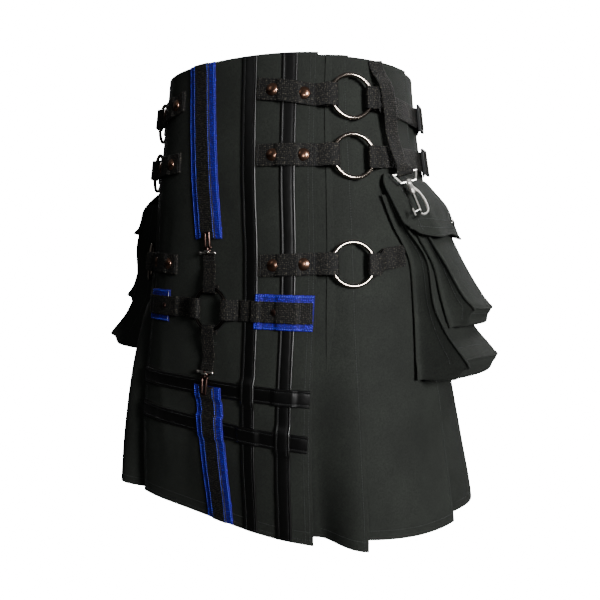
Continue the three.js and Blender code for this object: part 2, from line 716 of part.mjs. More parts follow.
STRAPS.forEach((values) => {
  const { strap, depthOf, level } = sideStrap(values, values.endLeft);
  add(`strap_side_${values.level}_left`, strap, 'webbing');
  add(`strap_side_${values.level}_right`, mirrored(sideStrap(values, values.endRight).strap),
    'webbing');
  if (!values.buckle) return;
  const down = depthOf(values.buckle);
  const at = ringFrame(values.buckle, down, level(values.buckle, down) + SLIDE.lift);
  const plate = new THREE.BoxGeometry(2 * SLIDE.half, SLIDE.tall, SLIDE.thick);
  const slot = SLIDE.half - 1.5 * SLIDE.bar;
  const slots = [-1, 1].map((side) => new THREE.BoxGeometry(
    slot, SLIDE.tall - 2 * SLIDE.bar, 2 * SLIDE.thick)
    .translate(side * (SLIDE.bar + slot) / 2, 0, 0));
  const cut = fromSolid(slots.reduce((rest, one) => rest.subtract(toSolid(one)), toSolid(plate)));
  addPair(`slide_${values.level}`, placed(cut.translate(0, 0, SLIDE.thick / 2), at.place, at.round,
    at.up, at.face), 'plastic');
});

// Webbing loop from the waist down over the two upper side straps, with a swivel trigger hook on
// its end. The eye swings on the loop, the hook turns in the eye and its gate opens inwards.
const LOOP_ROWS = [
  { depth: 3, run: 214, out: -1.9 }, { depth: 27, run: 219, out: -1.6 }, { depth: 36, run: 223, out: 11 },
  { depth: 71, run: 231, out: 11 }, { depth: 82, run: 234, out: 1 }, { depth: 105, run: 240, out: 1 },
  { depth: 112, run: 242, out: 7 }, { depth: 136, run: 248, out: 15 },
];
const LOOP_WIDTH = 23.5;
const EYE = { run: 249, depth: 147, out: 25, wire: 3.2, top: 34, low: 20, tall: 13, facing: 46 };
const HOOK_TIP = { run: 257, depth: 207, out: 48 };
const SWIVEL = { hole: 2.1, collar: 4.4, tall: 3, shank: 1.6, head: 3, gap: 0.5 };
const HOOK = { wire: 3.2, body: 15, length: 46, back: 11 };

const bar = frameAt(EYE.run, EYE.depth, EYE.out).place;
const facing = THREE.MathUtils.degToRad(EYE.facing);
const down = frameAt(HOOK_TIP.run, HOOK_TIP.depth, HOOK_TIP.out).place.sub(bar).normalize();
const hookWide = new THREE.Vector3(Math.cos(facing), Math.sin(facing), 0);
hookWide.addScaledVector(down, -hookWide.dot(down)).normalize();
const hookUp = down.clone().negate();
const hookFace = new THREE.Vector3().crossVectors(hookWide, hookUp).normalize();
const inHook = (geometry) => placed(geometry, bar, hookWide, hookUp, hookFace);

// A round rod from one point to another, in the plane of the hook
function rod(from, to, diameter, sides = 8) {
  const [a, b] = [from, to].map(([x, y]) => new THREE.Vector3(x, y, 0));
  const way = b.clone().sub(a);
  const cylinder = closed(new THREE.CylinderGeometry(diameter / 2, diameter / 2, way.length(), sides));
  const turn = new THREE.Quaternion().setFromUnitVectors(new THREE.Vector3(0, 1, 0),
    way.clone().normalize());
  return cylinder.applyQuaternion(turn).translate(...a.add(b).multiplyScalar(0.5).toArray());
}

const ring = (profile) => closed(new THREE.LatheGeometry(
  profile.map(([x, y]) => new THREE.Vector2(x, y)), 10));

const eyeLow = -EYE.tall;
const collarTop = eyeLow + SWIVEL.tall / 2;
const collar = ring([[SWIVEL.hole, collarTop - SWIVEL.tall], [SWIVEL.collar, collarTop - SWIVEL.tall],
  [SWIVEL.collar, collarTop], [SWIVEL.hole, collarTop], [SWIVEL.hole, collarTop - SWIVEL.tall]]);
const reachIn = SWIVEL.hole + 0.6;
add('snap_eye', inHook(join(
  rod([-EYE.top / 2, 0], [EYE.top / 2, 0], EYE.wire),
  ...[-1, 1].flatMap((side) => [
    rod([side * EYE.top / 2, 1.2], [side * EYE.low / 2, eyeLow], EYE.wire),
    rod([side * (EYE.low / 2 + 0.8), eyeLow], [side * reachIn, eyeLow], EYE.wire)]),
  collar)), 'nickel');

const headLow = collarTop + SWIVEL.gap;
const bodyTop = collarTop - SWIVEL.tall - SWIVEL.gap;
const bodyLow = bodyTop - HOOK.body;
const hookEnd = bodyTop - HOOK.length;
const stud = ring([[0, bodyTop - 1], [SWIVEL.shank, bodyTop - 1], [SWIVEL.shank, headLow],
  [SWIVEL.head, headLow], [SWIVEL.head * 0.7, headLow + 1.6], [0, headLow + 2]]);
const neck = ring([[0, bodyLow], [3, bodyLow], [3.8, bodyLow + 5], [3, bodyTop - 3], [3.6, bodyTop],
  [0, bodyTop]]);
const path = new THREE.CatmullRomCurve3([[1.5, bodyTop - 6], [5, bodyTop - 10], [9, bodyLow - 4],
  [HOOK.back, hookEnd + 12], [9, hookEnd + 3], [3, hookEnd], [-1, hookEnd + 2]]
  .map(([x, y]) => new THREE.Vector3(x, y, 0)));
const roundSection = new THREE.Shape(Array.from({ length: 7 }, (_, i) => new THREE.Vector2(
  (HOOK.wire / 2) * Math.cos((i / 7) * 2 * Math.PI), (HOOK.wire / 2) * Math.sin((i / 7) * 2 * Math.PI))));
const curl = closed(new THREE.ExtrudeGeometry(roundSection, { steps: 14, extrudePath: path }));
add('snap_hook', inHook(join(neck, stud, curl)), 'nickel');

const gateTop = bodyLow - 0.6;
const gateLow = hookEnd + 5.5;
add('snap_gate', inHook(join(
  rod([0, gateTop], [0, gateLow], 2.4),
  rod([0.5, gateLow + 3], [-9, gateLow + 1], 2.2),
  rod([-9, gateLow - 4], [-9, gateLow + 6], 2.2))), 'nickel');

// The loop's rows: along the cloth, then round the eye's bar
const loopRows = LOOP_ROWS.map(({ depth, run, out }) => {
  const { place, normal, round } = frameAt(run, depth, restLevel(run, depth) + SIDE_STACK + out);
  const onward = skin(run + 2.5, depth + 10, 0).sub(skin(run - 2.5, depth - 10, 0)).normalize();
  const wide = new THREE.Vector3().crossVectors(onward, normal).normalize();
  if (wide.dot(round) < 0) wide.negate();
  return { place, up: normal, wide };
});
const barWrap = EYE.wire / 2 + 0.7;
const level = new THREE.Vector3(Math.cos(facing), Math.sin(facing), 0);
const outward = new THREE.Vector3(level.y, -level.x, 0);
[[1, 0.2], [0.9, -0.5], [0, -1], [-0.9, -0.5], [-1, 0.4]].forEach(([x, z]) => {
  const up = outward.clone().multiplyScalar(x).add(new THREE.Vector3(0, 0, z)).normalize();
  loopRows.push({ place: bar.clone().addScaledVector(up, barWrap), up, wide: hookWide });
});
add('hip_loop', ribbon(loopRows, LOOP_WIDTH, WEB), 'webbing');

// Bellows pockets on the hips: a big pouch, a smaller one on its face, and a flap over both
// mouths. A pouch is a wall open at the top and towards the cloth, pinched out along its edges.
const PINCH = 4;
const COLUMNS = 4;
const pleatReach = (depth, side) => DENIM + 2 * LAYER + 2.8
  + Math.max(kickAt(0, depth, side) / 2, kickAt(1, depth, side), kickAt(2, depth, side));

// Points of a pouch: its roots on what carries it, its edges, and its face between them
function pouchRow(depth, front, back, root, stand, inset) {
  const rise = (t) => root + (stand - root) * t;
  const row = [[front - 5, depth, root], [front, depth, rise(0.05)],
    [front + 0.55 * inset, depth, rise(0.55)], [front + inset - PINCH / 2, depth, rise(1) + PINCH / 2],
    [front + inset + PINCH, depth, rise(1)]];
  for (let i = 1; i < COLUMNS; i += 1) {
    const t = i / COLUMNS;
    const run = lerp(front + inset + PINCH, back - inset - PINCH, t);
    row.push([run, depth, rise(1) + 5 * Math.sin(Math.PI * t)]);
  }
  row.push([back - inset - PINCH, depth, rise(1)], [back - inset + PINCH / 2, depth, rise(1) + PINCH / 2],
    [back - 0.55 * inset, depth, rise(0.55)], [back, depth, rise(0.05)], [back + 5, depth, root]);
  return row;
}

// A wall of even thickness on a grid of distance, depth and level
function pouch(grid, thick) {
  const outside = grid.map((row) => row.map(([run, depth, out]) => skin(run, depth, out)));
  const across = new THREE.Vector3();
  const inside = outside.map((row, i) => row.map((point, j) => {
    const [left, right] = [row[Math.max(j - 1, 0)], row[Math.min(j + 1, row.length - 1)]];
    const [over, under] = [outside[Math.max(i - 1, 0)][j],
      outside[Math.min(i + 1, outside.length - 1)][j]];
    across.crossVectors(right.clone().sub(left), over.clone().sub(under)).normalize();
    return point.clone().addScaledVector(across, -thick);
  }));
  return wall(inside, outside);
}

const BIG_DEPTHS = [176, 215, 265, 315, 350];
const SMALL_DEPTHS = [196, 230, 270, 306];
const BIG_FLOOR = 408;
const SMALL_FLOOR = 340;
const fullerAt = (depth, side) => lineAt(POCKET_FULLER, side, depth);
const bigStand = (depth, side) => lineAt(POCKET, 'stand', depth) + fullerAt(depth, side);
const bigEnds = (depth, side) => ['front', 'back'].map(
  (column) => lineAt(POCKET, column, depth) + POCKET_SHIFT[side]);

// The bigger pouch hangs from its roots and its floor slopes down from the face to the cloth
function bigPouch(side) {
  const stand = (depth) => bigStand(depth, side);
  const rows = BIG_DEPTHS.map((depth) => pouchRow(depth, ...bigEnds(depth, side),
    pleatReach(depth, side), stand(depth), FACE_INSET));
  const lip = pouchRow(386, ...bigEnds(386, side), pleatReach(386, side), stand(386) + PINCH,
    FACE_INSET);
  const floor = [[0.72, 398], [0.3, 406], [0, BIG_FLOOR], [0, BIG_FLOOR + 5]].map(([part, depth]) => {
    const reach = pleatReach(depth, side);
    return pouchRow(depth, ...bigEnds(386, side), reach, lerp(reach, stand(386), part) + 1,
      FACE_INSET);
  });
  return pouch([...rows, lip, ...floor], POCKET_WALL);
}

// The smaller pouch, its roots on the bigger one's face
function smallPouch(side) {
  const root = (depth) => bigStand(depth, side) + 5;
  const ends = (depth) => bigEnds(depth, side).map((run, k) => run + (k ? -1 : 1)
    * (FACE_INSET + SMALL_INSET));
  const stand = (depth) => lineAt(POCKET, 'small', depth) + fullerAt(depth, side);
  const rows = SMALL_DEPTHS.map((depth) => pouchRow(depth, ...ends(depth), root(depth),
    Math.max(stand(depth), root(depth) + 2), FACE_INSET));
  const lip = pouchRow(320, ...ends(320), root(320), stand(320) + PINCH, FACE_INSET);
  const floor = [[0.7, 329], [0.3, 336], [0, SMALL_FLOOR]].map(([part, depth]) => pouchRow(
    depth, ...ends(320), root(depth), lerp(root(depth), stand(320), part), FACE_INSET));
  return pouch([...rows, lip, ...floor], POCKET_WALL);
}

function flap(side) {
  const steps = stations(0, 1, 0.1);
  const rows = FLAP.map(({ depth, front, back, stand, edge }) => {
    const fuller = fullerAt(depth, side);
    const shift = POCKET_SHIFT[side] * clamp((depth - FLAP[0].depth) / 34, 0, 1);
    return steps.map((t) => [lerp(front, back, t) + shift, depth,
      fuller + edge + (stand - edge) * smooth(Math.min(1, 1.6 * Math.sin(Math.PI * t)))]);
  });
  return pouch(rows, POCKET_WALL);
}

['left', 'right'].forEach((side) => {
  [['big', bigPouch], ['small', smallPouch], ['flap', flap]].forEach(([part, make]) => {
    const geometry = make(side);
    add(`pocket_${part}_${side}`, side === 'left' ? geometry : mirrored(geometry), 'denim');
  });
});

export default kilt;
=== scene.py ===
# Denim utility kilt, dressed on its CAD frame. Metres, +X to the wearer's left, the front faces -Y.
import math
import bmesh
import bpy
import numpy as np
from mathutils import Matrix, Vector


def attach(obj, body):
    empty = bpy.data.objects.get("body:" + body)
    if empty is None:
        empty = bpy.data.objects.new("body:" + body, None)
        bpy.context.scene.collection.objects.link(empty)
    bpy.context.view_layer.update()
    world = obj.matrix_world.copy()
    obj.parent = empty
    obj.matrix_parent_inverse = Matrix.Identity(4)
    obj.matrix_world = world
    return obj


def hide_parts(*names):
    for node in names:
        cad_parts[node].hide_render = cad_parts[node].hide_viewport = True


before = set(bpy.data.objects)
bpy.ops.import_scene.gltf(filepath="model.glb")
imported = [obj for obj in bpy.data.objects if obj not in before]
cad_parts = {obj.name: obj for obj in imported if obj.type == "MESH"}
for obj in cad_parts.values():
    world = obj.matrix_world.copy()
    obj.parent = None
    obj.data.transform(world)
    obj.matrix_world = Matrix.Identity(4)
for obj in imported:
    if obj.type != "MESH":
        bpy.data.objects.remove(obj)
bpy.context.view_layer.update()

# Camera and studio
# The photograph is taken from the front and the wearer's left, level with the middle of the kilt.
# The camera stands 1.07 m from the kilt's middle; its lengths are in millimetres.
CAM_TURN, CAM_PITCH, CAM_ROLL = (math.radians(v) for v in (36.0, 2.9, 0.9))
CAM_AWAY, CAM_HIGH, CAM_ASIDE = 1066, -266, 22.5
LENS, SENSOR = 42.3, 36
FLOOR_BELOW, FLOOR_HALF = 0.69, 9
PAPER_GLOW, ROOM_GLOW = 18.0, 0.15

back_way = Vector((math.sin(CAM_TURN), -math.cos(CAM_TURN), 0))
right = Vector((math.cos(CAM_TURN), math.sin(CAM_TURN), 0))
ahead = Vector((-back_way.x * math.cos(CAM_PITCH), -back_way.y * math.cos(CAM_PITCH),
                -math.sin(CAM_PITCH)))
above = right.cross(ahead)
cam_right = right * math.cos(CAM_ROLL) + above * math.sin(CAM_ROLL)
cam_up = above * math.cos(CAM_ROLL) - right * math.sin(CAM_ROLL)
cam_data = bpy.data.cameras.new("camera")
cam_data.lens, cam_data.sensor_width, cam_data.sensor_fit = LENS, SENSOR, "HORIZONTAL"
camera = bpy.data.objects.new("camera", cam_data)
bpy.context.scene.collection.objects.link(camera)
turn = Matrix((cam_right, cam_up, -ahead)).transposed().to_4x4()
camera.matrix_world = Matrix.Translation(
    (back_way * CAM_AWAY + Vector((0, 0, CAM_HIGH)) + right * CAM_ASIDE) / 1000) @ turn
bpy.context.scene.camera = camera


def link(name, mesh):
    made = bpy.data.objects.new(name, mesh)
    bpy.context.scene.collection.objects.link(made)
    return made


def rgb(code):
    """An sRGB hex colour as linear red, green, blue and alpha."""
    parts = [int(code[i:i + 2], 16) / 255 for i in (1, 3, 5)]
    return (*[p / 12.92 if p <= 0.04045 else ((p + 0.055) / 1.055) ** 2.4 for p in parts], 1)


def put(tree, kind, x=0, y=0, inputs=(), **settings):
    """Adds a shader or geometry node, with its settings and its inputs' values or links."""
    made = tree.nodes.new(kind)
    made.location = (x, y)
    for key, value in settings.items():
        setattr(made, key, value)
    for key, value in dict(inputs).items():
        if isinstance(value, bpy.types.NodeSocket):
            tree.links.new(value, made.inputs[key])
        else:
            made.inputs[key].default_value = value
    return made


def new_material(name, rough, metal=0.0, colour=None, **more):
    """A material with its shader's plain values set; returns it, its tree and its shader."""
    made = bpy.data.materials.new(name)
    made.use_nodes = True
    tree = made.node_tree
    shader = tree.nodes["Principled BSDF"]
    shader.inputs["Roughness"].default_value = rough
    shader.inputs["Metallic"].default_value = metal
    if colour:
        shader.inputs["Base Color"].default_value = rgb(colour)
    for key, value in more.items():
        shader.inputs[key.replace("_", " ")].default_value = value
    return made, tree, shader


def area_light(name, place, size, power):
    """A round white lamp aimed at the middle of the kilt; size in metres, power in watts."""
    data = bpy.data.lights.new(name, "AREA")
    data.shape, data.size, data.energy = "DISK", size, power
    lamp = bpy.data.objects.new(name, data)
    bpy.context.scene.collection.objects.link(lamp)
    lamp.location = place
    lamp.rotation_mode = "QUATERNION"
    lamp.rotation_quaternion = (Vector((0, 0, -0.3)) - Vector(place)).to_track_quat("-Z", "Y")


# The light stands to the wearer's left, and a small one by the camera makes the metal glint.
area_light("key", (2.6, -1.15, 0.3), 0.8, 215)
area_light("glint", camera.location + Vector((-0.1, 0, 0.12)), 0.12, 1.6)
area_light("fill", (-0.6, -2.3, 1.1), 0.9, 2)
area_light("back", (0.6, 2.2, 1.3), 1.2, 45)
area_light("side", (-2.2, 1.4, 0.6), 1.1, 26)
world = bpy.data.worlds.new("studio")
world.use_nodes = True
bpy.context.scene.world = world
sky = world.node_tree
# What shows behind is white paper; what lights and reflects is a grey room, paler overhead.
paper = sky.nodes["Background"]
paper.inputs["Color"].default_value = rgb("#FFFFFF")
paper.inputs["Strength"].default_value = PAPER_GLOW
look = put(sky, "ShaderNodeTexCoord", -900, -300)
parts = put(sky, "ShaderNodeSeparateXYZ", -700, -300, {"Vector": look.outputs["Generated"]})
room = put(sky, "ShaderNodeValToRGB", -500, -300, {"Fac": parts.outputs["Z"]})
room.color_ramp.elements[0].position, room.color_ramp.elements[0].color = 0.0, rgb("#3A3A3A")
room.color_ramp.elements[1].position, room.color_ramp.elements[1].color = 0.75, rgb("#F2F2F2")
grey = put(sky, "ShaderNodeBackground", -200, -300, {"Color": room.outputs[0],
                                                         "Strength": ROOM_GLOW})
ray = put(sky, "ShaderNodeLightPath", -200, 200)
choose = put(sky, "ShaderNodeMixShader", 100, 0, {"Fac": ray.outputs["Is Camera Ray"],
                                                  1: grey.outputs[0], 2: paper.outputs[0]})
sky.links.new(choose.outputs[0], sky.nodes["World Output"].inputs["Surface"])
floor_mesh = bpy.data.meshes.new("floor")
floor_mesh.from_pydata([(x * FLOOR_HALF, y * FLOOR_HALF, -FLOOR_BELOW)
                        for x, y in ((-1, -1), (1, -1), (1, 1), (-1, 1))], [], [(0, 1, 2, 3)])
floor = link("floor", floor_mesh)
# The paper on the floor burns out to white like the wall, and lights the kilt only as grey.
pale_paper, paper_tree, paper_face = new_material("pale_paper", 0.95, colour="#3C3C3C",
                                                  Specular_IOR_Level=0.0)
seen_by = put(paper_tree, "ShaderNodeLightPath", -400, 300)
burnt = put(paper_tree, "ShaderNodeEmission", 200, -200, {"Color": rgb("#FFFFFF"),
                                                             "Strength": PAPER_GLOW})
either = put(paper_tree, "ShaderNodeMixShader", 500, 0, {"Fac": seen_by.outputs["Is Camera Ray"],
                                                         1: paper_face.outputs[0], 2: burnt.outputs[0]})
paper_tree.links.new(either.outputs[0], paper_tree.nodes["Material Output"].inputs["Surface"])
floor.data.materials.append(pale_paper)

# Pleated sides
# Twelve to fourteen ounce denim in one length a side, from under the apron to the middle of the
# back, with four knife pleats whose folds face the back, sewn above and open towards the hem.
# Places on the kilt are a distance round the cloth from the front middle, a depth below the waist
# and a level out from the cloth's inner face, all in millimetres.
LENGTH, DENIM, SEAM, TOP_DROP = 610, 1.5, 0.3, 2.5
APRON_TOP, APRON_HEM, UNDERLAP = 137, 159, 28
# Each fold's share of the way to the back at waist and hem, and its swing out at the hem on the
# wearer's left and right.
FOLDS = [(0.33, 0.297, 24, 20), (0.53, 0.505, 6, 20), (0.735, 0.72, 14, 14), (0.94, 0.94, 12, 12)]
TUCK_TOP, TUCK_HEM, LAYER, OPEN_FROM, VALLEY = 26, 44, 2.3, 325, 8
OPENING = {"left": 1.3, "right": 0.5}
# depth, half width, half depth, how far the middle lies back, squareness
BODY = np.array([
    (0, 180, 146, 0, 2.25), (80, 187, 153, 2, 2.3), (160, 198, 161, 7, 2.35),
    (250, 209, 165, 13, 2.4), (340, 219, 171, 16, 2.5), (430, 233, 178, 19, 2.6),
    (520, 244, 180, 24, 2.8), (610, 254, 177, 31, 3.0)])
DEPTH_STEP, RUN_STEP, RUN_MOST = 5, 1.0, 800


def curve_row(table, depth):
    """The columns of a table at a depth, on a curve through its rows."""
    last = len(table) - 1
    i = int(np.clip(np.searchsorted(table[:, 0], depth, "left") - 1, 0, last - 1))
    t = (depth - table[i, 0]) / (table[i + 1, 0] - table[i, 0])
    before, a, b, after = (table[k, 1:] for k in (max(i - 1, 0), i, i + 1, min(i + 2, last)))
    return a + 0.5 * t * (b - before + t * (2 * before - 5 * a + 4 * b - after
                                            + t * (3 * (a - b) + after - before)))


def section_row(depth):
    """x, y along a level section at every step of the distance round, and half its girth."""
    width, front, back, square = curve_row(BODY, depth)
    angle = np.linspace(0, math.pi, 1441)
    bend = lambda v: np.sign(v) * np.abs(v) ** (2 / square)
    x, y = width * bend(np.sin(angle)), back - front * bend(np.cos(angle))
    run = np.concatenate([[0], np.cumsum(np.hypot(np.diff(x), np.diff(y)))])
    steps = np.arange(0, RUN_MOST, RUN_STEP)
    over = steps > run[-1]
    at = np.where(over, 2 * run[-1] - steps, steps)
    return np.interp(at, run, x) * np.where(over, -1, 1), np.interp(at, run, y), run[-1]


section_depths = np.arange(-20, 640, DEPTH_STEP)
rows = [section_row(float(d)) for d in section_depths]
SECTION_X, SECTION_Y = np.array([r[0] for r in rows]), np.array([r[1] for r in rows])
GIRTHS = np.array([r[2] for r in rows])


def half_round(depth):
    return np.interp(depth, section_depths, GIRTHS)


def on_body(run, depth):
    """x and y of places on the body at distances round and depths, in millimetres."""
    run, depth = np.broadcast_arrays(np.asarray(run, float), np.asarray(depth, float))
    side = np.where(run < 0, -1, 1)
    u, v = np.abs(run) / RUN_STEP, (depth - section_depths[0]) / DEPTH_STEP
    i, j = u.astype(int), v.astype(int)
    a, b = u - i, v - j
    mix = lambda t: ((t[j, i] * (1 - a) + t[j, i + 1] * a) * (1 - b)
                     + (t[j + 1, i] * (1 - a) + t[j + 1, i + 1] * a) * b)
    return side * mix(SECTION_X), mix(SECTION_Y)


def body_frame(run, depth):
    """Place, way round and outward way on the body, as arrays of vectors."""
    x, y = on_body(run, depth)
    x1, y1 = on_body(np.asarray(run, float) + 2, depth)
    x0, y0 = on_body(np.asarray(run, float) - 2, depth)
    size = np.hypot(x1 - x0, y1 - y0)
    rx, ry = (x1 - x0) / size, (y1 - y0) / size
    zero = np.zeros_like(x)
    place = np.stack([x, y, zero - depth], -1)
    return place, np.stack([rx, ry, zero], -1), np.stack([ry, -rx, zero], -1)


def skin(run, depth, out):
    """Places a level out from the body."""
    place, _, normal = body_frame(run, depth)
    return place + normal * np.asarray(out, float)[..., None]


def smooth(t):
    t = np.clip(t, 0, 1)
    return t * t * (3 - 2 * t)


def share(depth):
    return np.clip(np.asarray(depth, float) / LENGTH, 0, 1)


def lerp(a, b, t):
    return a + (b - a) * t


def apron_half(depth):
    return lerp(APRON_TOP, APRON_HEM, share(depth))


def opened(depth, side="left"):
    """How far the pleats have opened at a depth, from 0 to 1 at the hem."""
    return np.clip((np.asarray(depth, float) - OPEN_FROM) / (LENGTH - OPEN_FROM), 0, 1) ** OPENING[side]


def fold_run(k, depth):
    return lerp(FOLDS[k][0], FOLDS[k][1], share(depth)) * half_round(depth)


def kick_at(k, depth, side="left"):
    return FOLDS[k][2 if side == "left" else 3] * opened(depth, side)


def creases(run, depth, table):
    """How far soft creases move the cloth out. Each row: run, depth, lean in degrees, half
    length, half width and height, below 0 for a trough."""
    total = np.zeros(np.broadcast(run, depth).shape)
    for at, down, lean, half, width, height in table:
        c, s = math.cos(math.radians(lean)), math.sin(math.radians(lean))
        across = (run - at) * c - (depth - down) * s
        along = (run - at) * s + (depth - down) * c
        total = total + height * np.exp(-(across / width) ** 2) * smooth(1.25 - np.abs(along) / half)
    return total


SIDE_CREASES = {
    "left": [(205, 395, 4, 150, 16, 1.6), (245, 470, -3, 130, 18, -1.5), (285, 520, 2, 90, 14, 1.6),
             (225, 215, 35, 40, 9, -0.8), (190, 330, 12, 60, 10, 0.9), (350, 480, 3, 110, 16, 1.6),
             (410, 520, -4, 90, 15, -1.4), (520, 440, 5, 120, 20, 1.5), (600, 330, -6, 110, 16, -1.0),
             (560, 180, 20, 60, 12, 0.8), (655, 500, 3, 100, 17, 1.4), (480, 120, -25, 45, 10, 0.8)],
    "right": [(200, 420, -5, 140, 15, 1.5), (250, 500, 4, 110, 16, -1.4), (232, 190, -30, 45, 10, 0.8),
              (330, 470, -2, 120, 17, 1.5), (400, 510, 5, 90, 13, -1.5), (470, 430, 2, 120, 18, 1.4),
              (575, 350, 8, 120, 18, -1.1), (540, 160, -18, 60, 12, 0.8), (640, 480, -4, 110, 16, 1.5)],
}
FACE_STEPS, ROW_STEP = 14, 9


def pleated_line(depth, side):
    """The middle line of a side's section: distances round and levels out."""
    base, tuck, open_now = DENIM / 2, lerp(TUCK_TOP, TUCK_HEM, share(depth)), opened(depth)
    line, valley, low = [(apron_half(depth) - UNDERLAP, base)], apron_half(depth), VALLEY * open_now
    for k in range(len(FOLDS)):
        fold = fold_run(k, depth)
        crest = base + 2 * LAYER + kick_at(k, depth, side)
        for t in np.linspace(0, 1, FACE_STEPS + 1):
            line.append((lerp(valley, fold, t), lerp(base - low, crest, float(smooth(t)))))
        line += [(fold + 0.3, crest - LAYER / 2), (fold, crest - LAYER),
                 (fold - tuck / 2, lerp(crest, base + LAYER * 2 - low, 0.5) - LAYER),
                 (fold - tuck, base + LAYER - low), (fold - tuck - 0.3, base + LAYER / 2 - low),
                 (fold - tuck, base - low)]
        valley = fold
    line += [(valley, base - low), (half_round(depth) + SEAM, base)]
    line = np.array(line, float)
    lift = creases(line[:, 0], depth, SIDE_CREASES[side])
    line[:, 1] += lift * smooth((line[:, 0] - line[0, 0] - 30) / 20) * (line[:, 1] > base + 1.2)
    return line


def both_faces(line, thick):
    """Both faces of a wall of even thickness along a line."""
    way = np.diff(line, axis=0)
    way /= np.linalg.norm(way, axis=1)[:, None]
    normal = np.stack([-way[:, 1], way[:, 0]], -1)
    total = np.vstack([normal[:1], normal[:-1] + normal[1:], normal[-1:]])
    size = np.linalg.norm(total, axis=1)
    reach = np.where(np.arange(len(line)) % (len(line) - 1) == 0, thick / 2,
                     thick / np.maximum(size, 0.7))
    step = total / size[:, None] * reach[:, None]
    return line - step, line + step


def outward(mesh):
    """Merges a mesh's doubles and turns its faces outwards."""
    bm = bmesh.new()
    bm.from_mesh(mesh)
    bmesh.ops.remove_doubles(bm, verts=bm.verts, dist=1e-6)
    bmesh.ops.recalc_face_normals(bm, faces=bm.faces)
    if bm.calc_volume(signed=True) < 0:
        bmesh.ops.reverse_faces(bm, faces=bm.faces)
    bm.to_mesh(mesh)
    bm.free()


def finish_mesh(name, points, faces, corners, material, sharp=50):
    """A piece from points in millimetres, its faces and each face corner's place on the cloth."""
    mesh = bpy.data.meshes.new(name)
    mesh.from_pydata((np.asarray(points) / 1000).tolist(), [], faces)
    if corners is not None:
        layer = mesh.uv_layers.new(name="cloth")
        flat = np.asarray(corners)[np.concatenate([np.asarray(f) for f in faces])] / 1000
        layer.data.foreach_set("uv", flat.ravel())
    outward(mesh)
    mesh.polygons.foreach_set("use_smooth", [True] * len(mesh.polygons))
    mesh.set_sharp_from_angle(angle=math.radians(sharp))
    mesh.materials.append(material)
    return link(name, mesh)


def sheet(piece):
    """Returns the piece unchanged."""
    return piece


def wall(name, inner, outer, cloth, material, sharp=50):
    """A closed wall between two grids of points; cloth holds each one's place on the cloth."""
    inner, outer, cloth = (np.asarray(g, float) for g in (inner, outer, cloth))
    n, m = inner.shape[:2]
    half = n * m
    index = np.arange(half).reshape(n, m)
    a, b, c, d = index[:-1, :-1], index[:-1, 1:], index[1:, 1:], index[1:, :-1]
    near = np.stack([a, b, c, d], -1).reshape(-1, 4)
    faces = [*near.tolist(), *(near[:, ::-1] + half).tolist()]
    rim = [*index[0], *index[1:, -1], *index[-1, -2::-1], *index[-2:0:-1, 0]]
    faces += [[int(q), int(p), int(p) + half, int(q) + half] for p, q in zip(rim, rim[1:] + rim[:1])]
    points = np.vstack([inner.reshape(-1, 3), outer.reshape(-1, 3)])
    return finish_mesh(name, points, faces, np.vstack([cloth.reshape(-1, 2)] * 2), material, sharp)


def denim():
    """Charcoal denim: a fine right-hand twill, 0.7 mm a repeat, flecked by uneven yarn 2 mm apart
    and rubbed a little paler where it wears."""
    made, tree, shader = new_material("charcoal_denim_twill", 0.88, Specular_IOR_Level=0.22)
    place = put(tree, "ShaderNodeUVMap", -1300, 0, uv_map="cloth")
    turned = put(tree, "ShaderNodeMapping", -1100, 0, {"Vector": place.outputs[0],
                                                       "Rotation": (0, 0, math.radians(62))})
    twill = put(tree, "ShaderNodeTexWave", -900, 0, {"Vector": turned.outputs[0], "Scale": 450.0,
                                                     "Distortion": 1.4, "Detail": 2.0, "Detail Scale": 1.5})
    solid_place = put(tree, "ShaderNodeTexCoord", -1300, -300)
    fleck = put(tree, "ShaderNodeTexNoise", -900, -250, {"Vector": solid_place.outputs["Object"],
                                                         "Scale": 520.0, "Detail": 3.0, "Roughness": 0.75})
    wear = put(tree, "ShaderNodeTexNoise", -900, -500, {"Vector": solid_place.outputs["Object"],
                                                        "Scale": 14.0, "Detail": 5.0, "Roughness": 0.6})
    grain = put(tree, "ShaderNodeMath", -700, -100, {0: twill.outputs["Fac"], 1: 0.35},
                operation="MULTIPLY")
    both = put(tree, "ShaderNodeMath", -520, -100, {0: grain.outputs[0], 1: fleck.outputs["Fac"]},
               operation="ADD")
    ramp = put(tree, "ShaderNodeValToRGB", -340, -50, {"Fac": both.outputs[0]})
    ramp.color_ramp.elements[0].position, ramp.color_ramp.elements[0].color = 0.40, rgb("#050605")
    ramp.color_ramp.elements[1].position, ramp.color_ramp.elements[1].color = 0.92, rgb("#1B1E1A")
    fade = put(tree, "ShaderNodeMapRange", -340, -450, {"Value": wear.outputs["Fac"], "From Min": 0.35,
                                                        "From Max": 0.7, "To Min": 0.8, "To Max": 1.25})
    tone = put(tree, "ShaderNodeMix", -100, 0, data_type="RGBA", blend_type="MULTIPLY")
    tone.inputs[0].default_value = 1.0
    tree.links.new(ramp.outputs[0], tone.inputs[6])
    tree.links.new(fade.outputs[0], tone.inputs[7])
    tree.links.new(tone.outputs[2], shader.inputs["Base Color"])
    bump = put(tree, "ShaderNodeBump", -100, -350, {"Height": both.outputs[0], "Strength": 0.35,
                                                    "Distance": 0.0004})
    tree.links.new(bump.outputs[0], shader.inputs["Normal"])
    return made


denim_cloth = denim()
side_depths = [TOP_DROP, *np.arange(ROW_STEP, LENGTH, ROW_STEP), LENGTH]


def dress(piece, nodes):
    """The calls every piece needs: what carries it, and the frame's solids it stands for, which it hides.
    """
    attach(piece, "kilt")
    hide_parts(*nodes)
    return piece


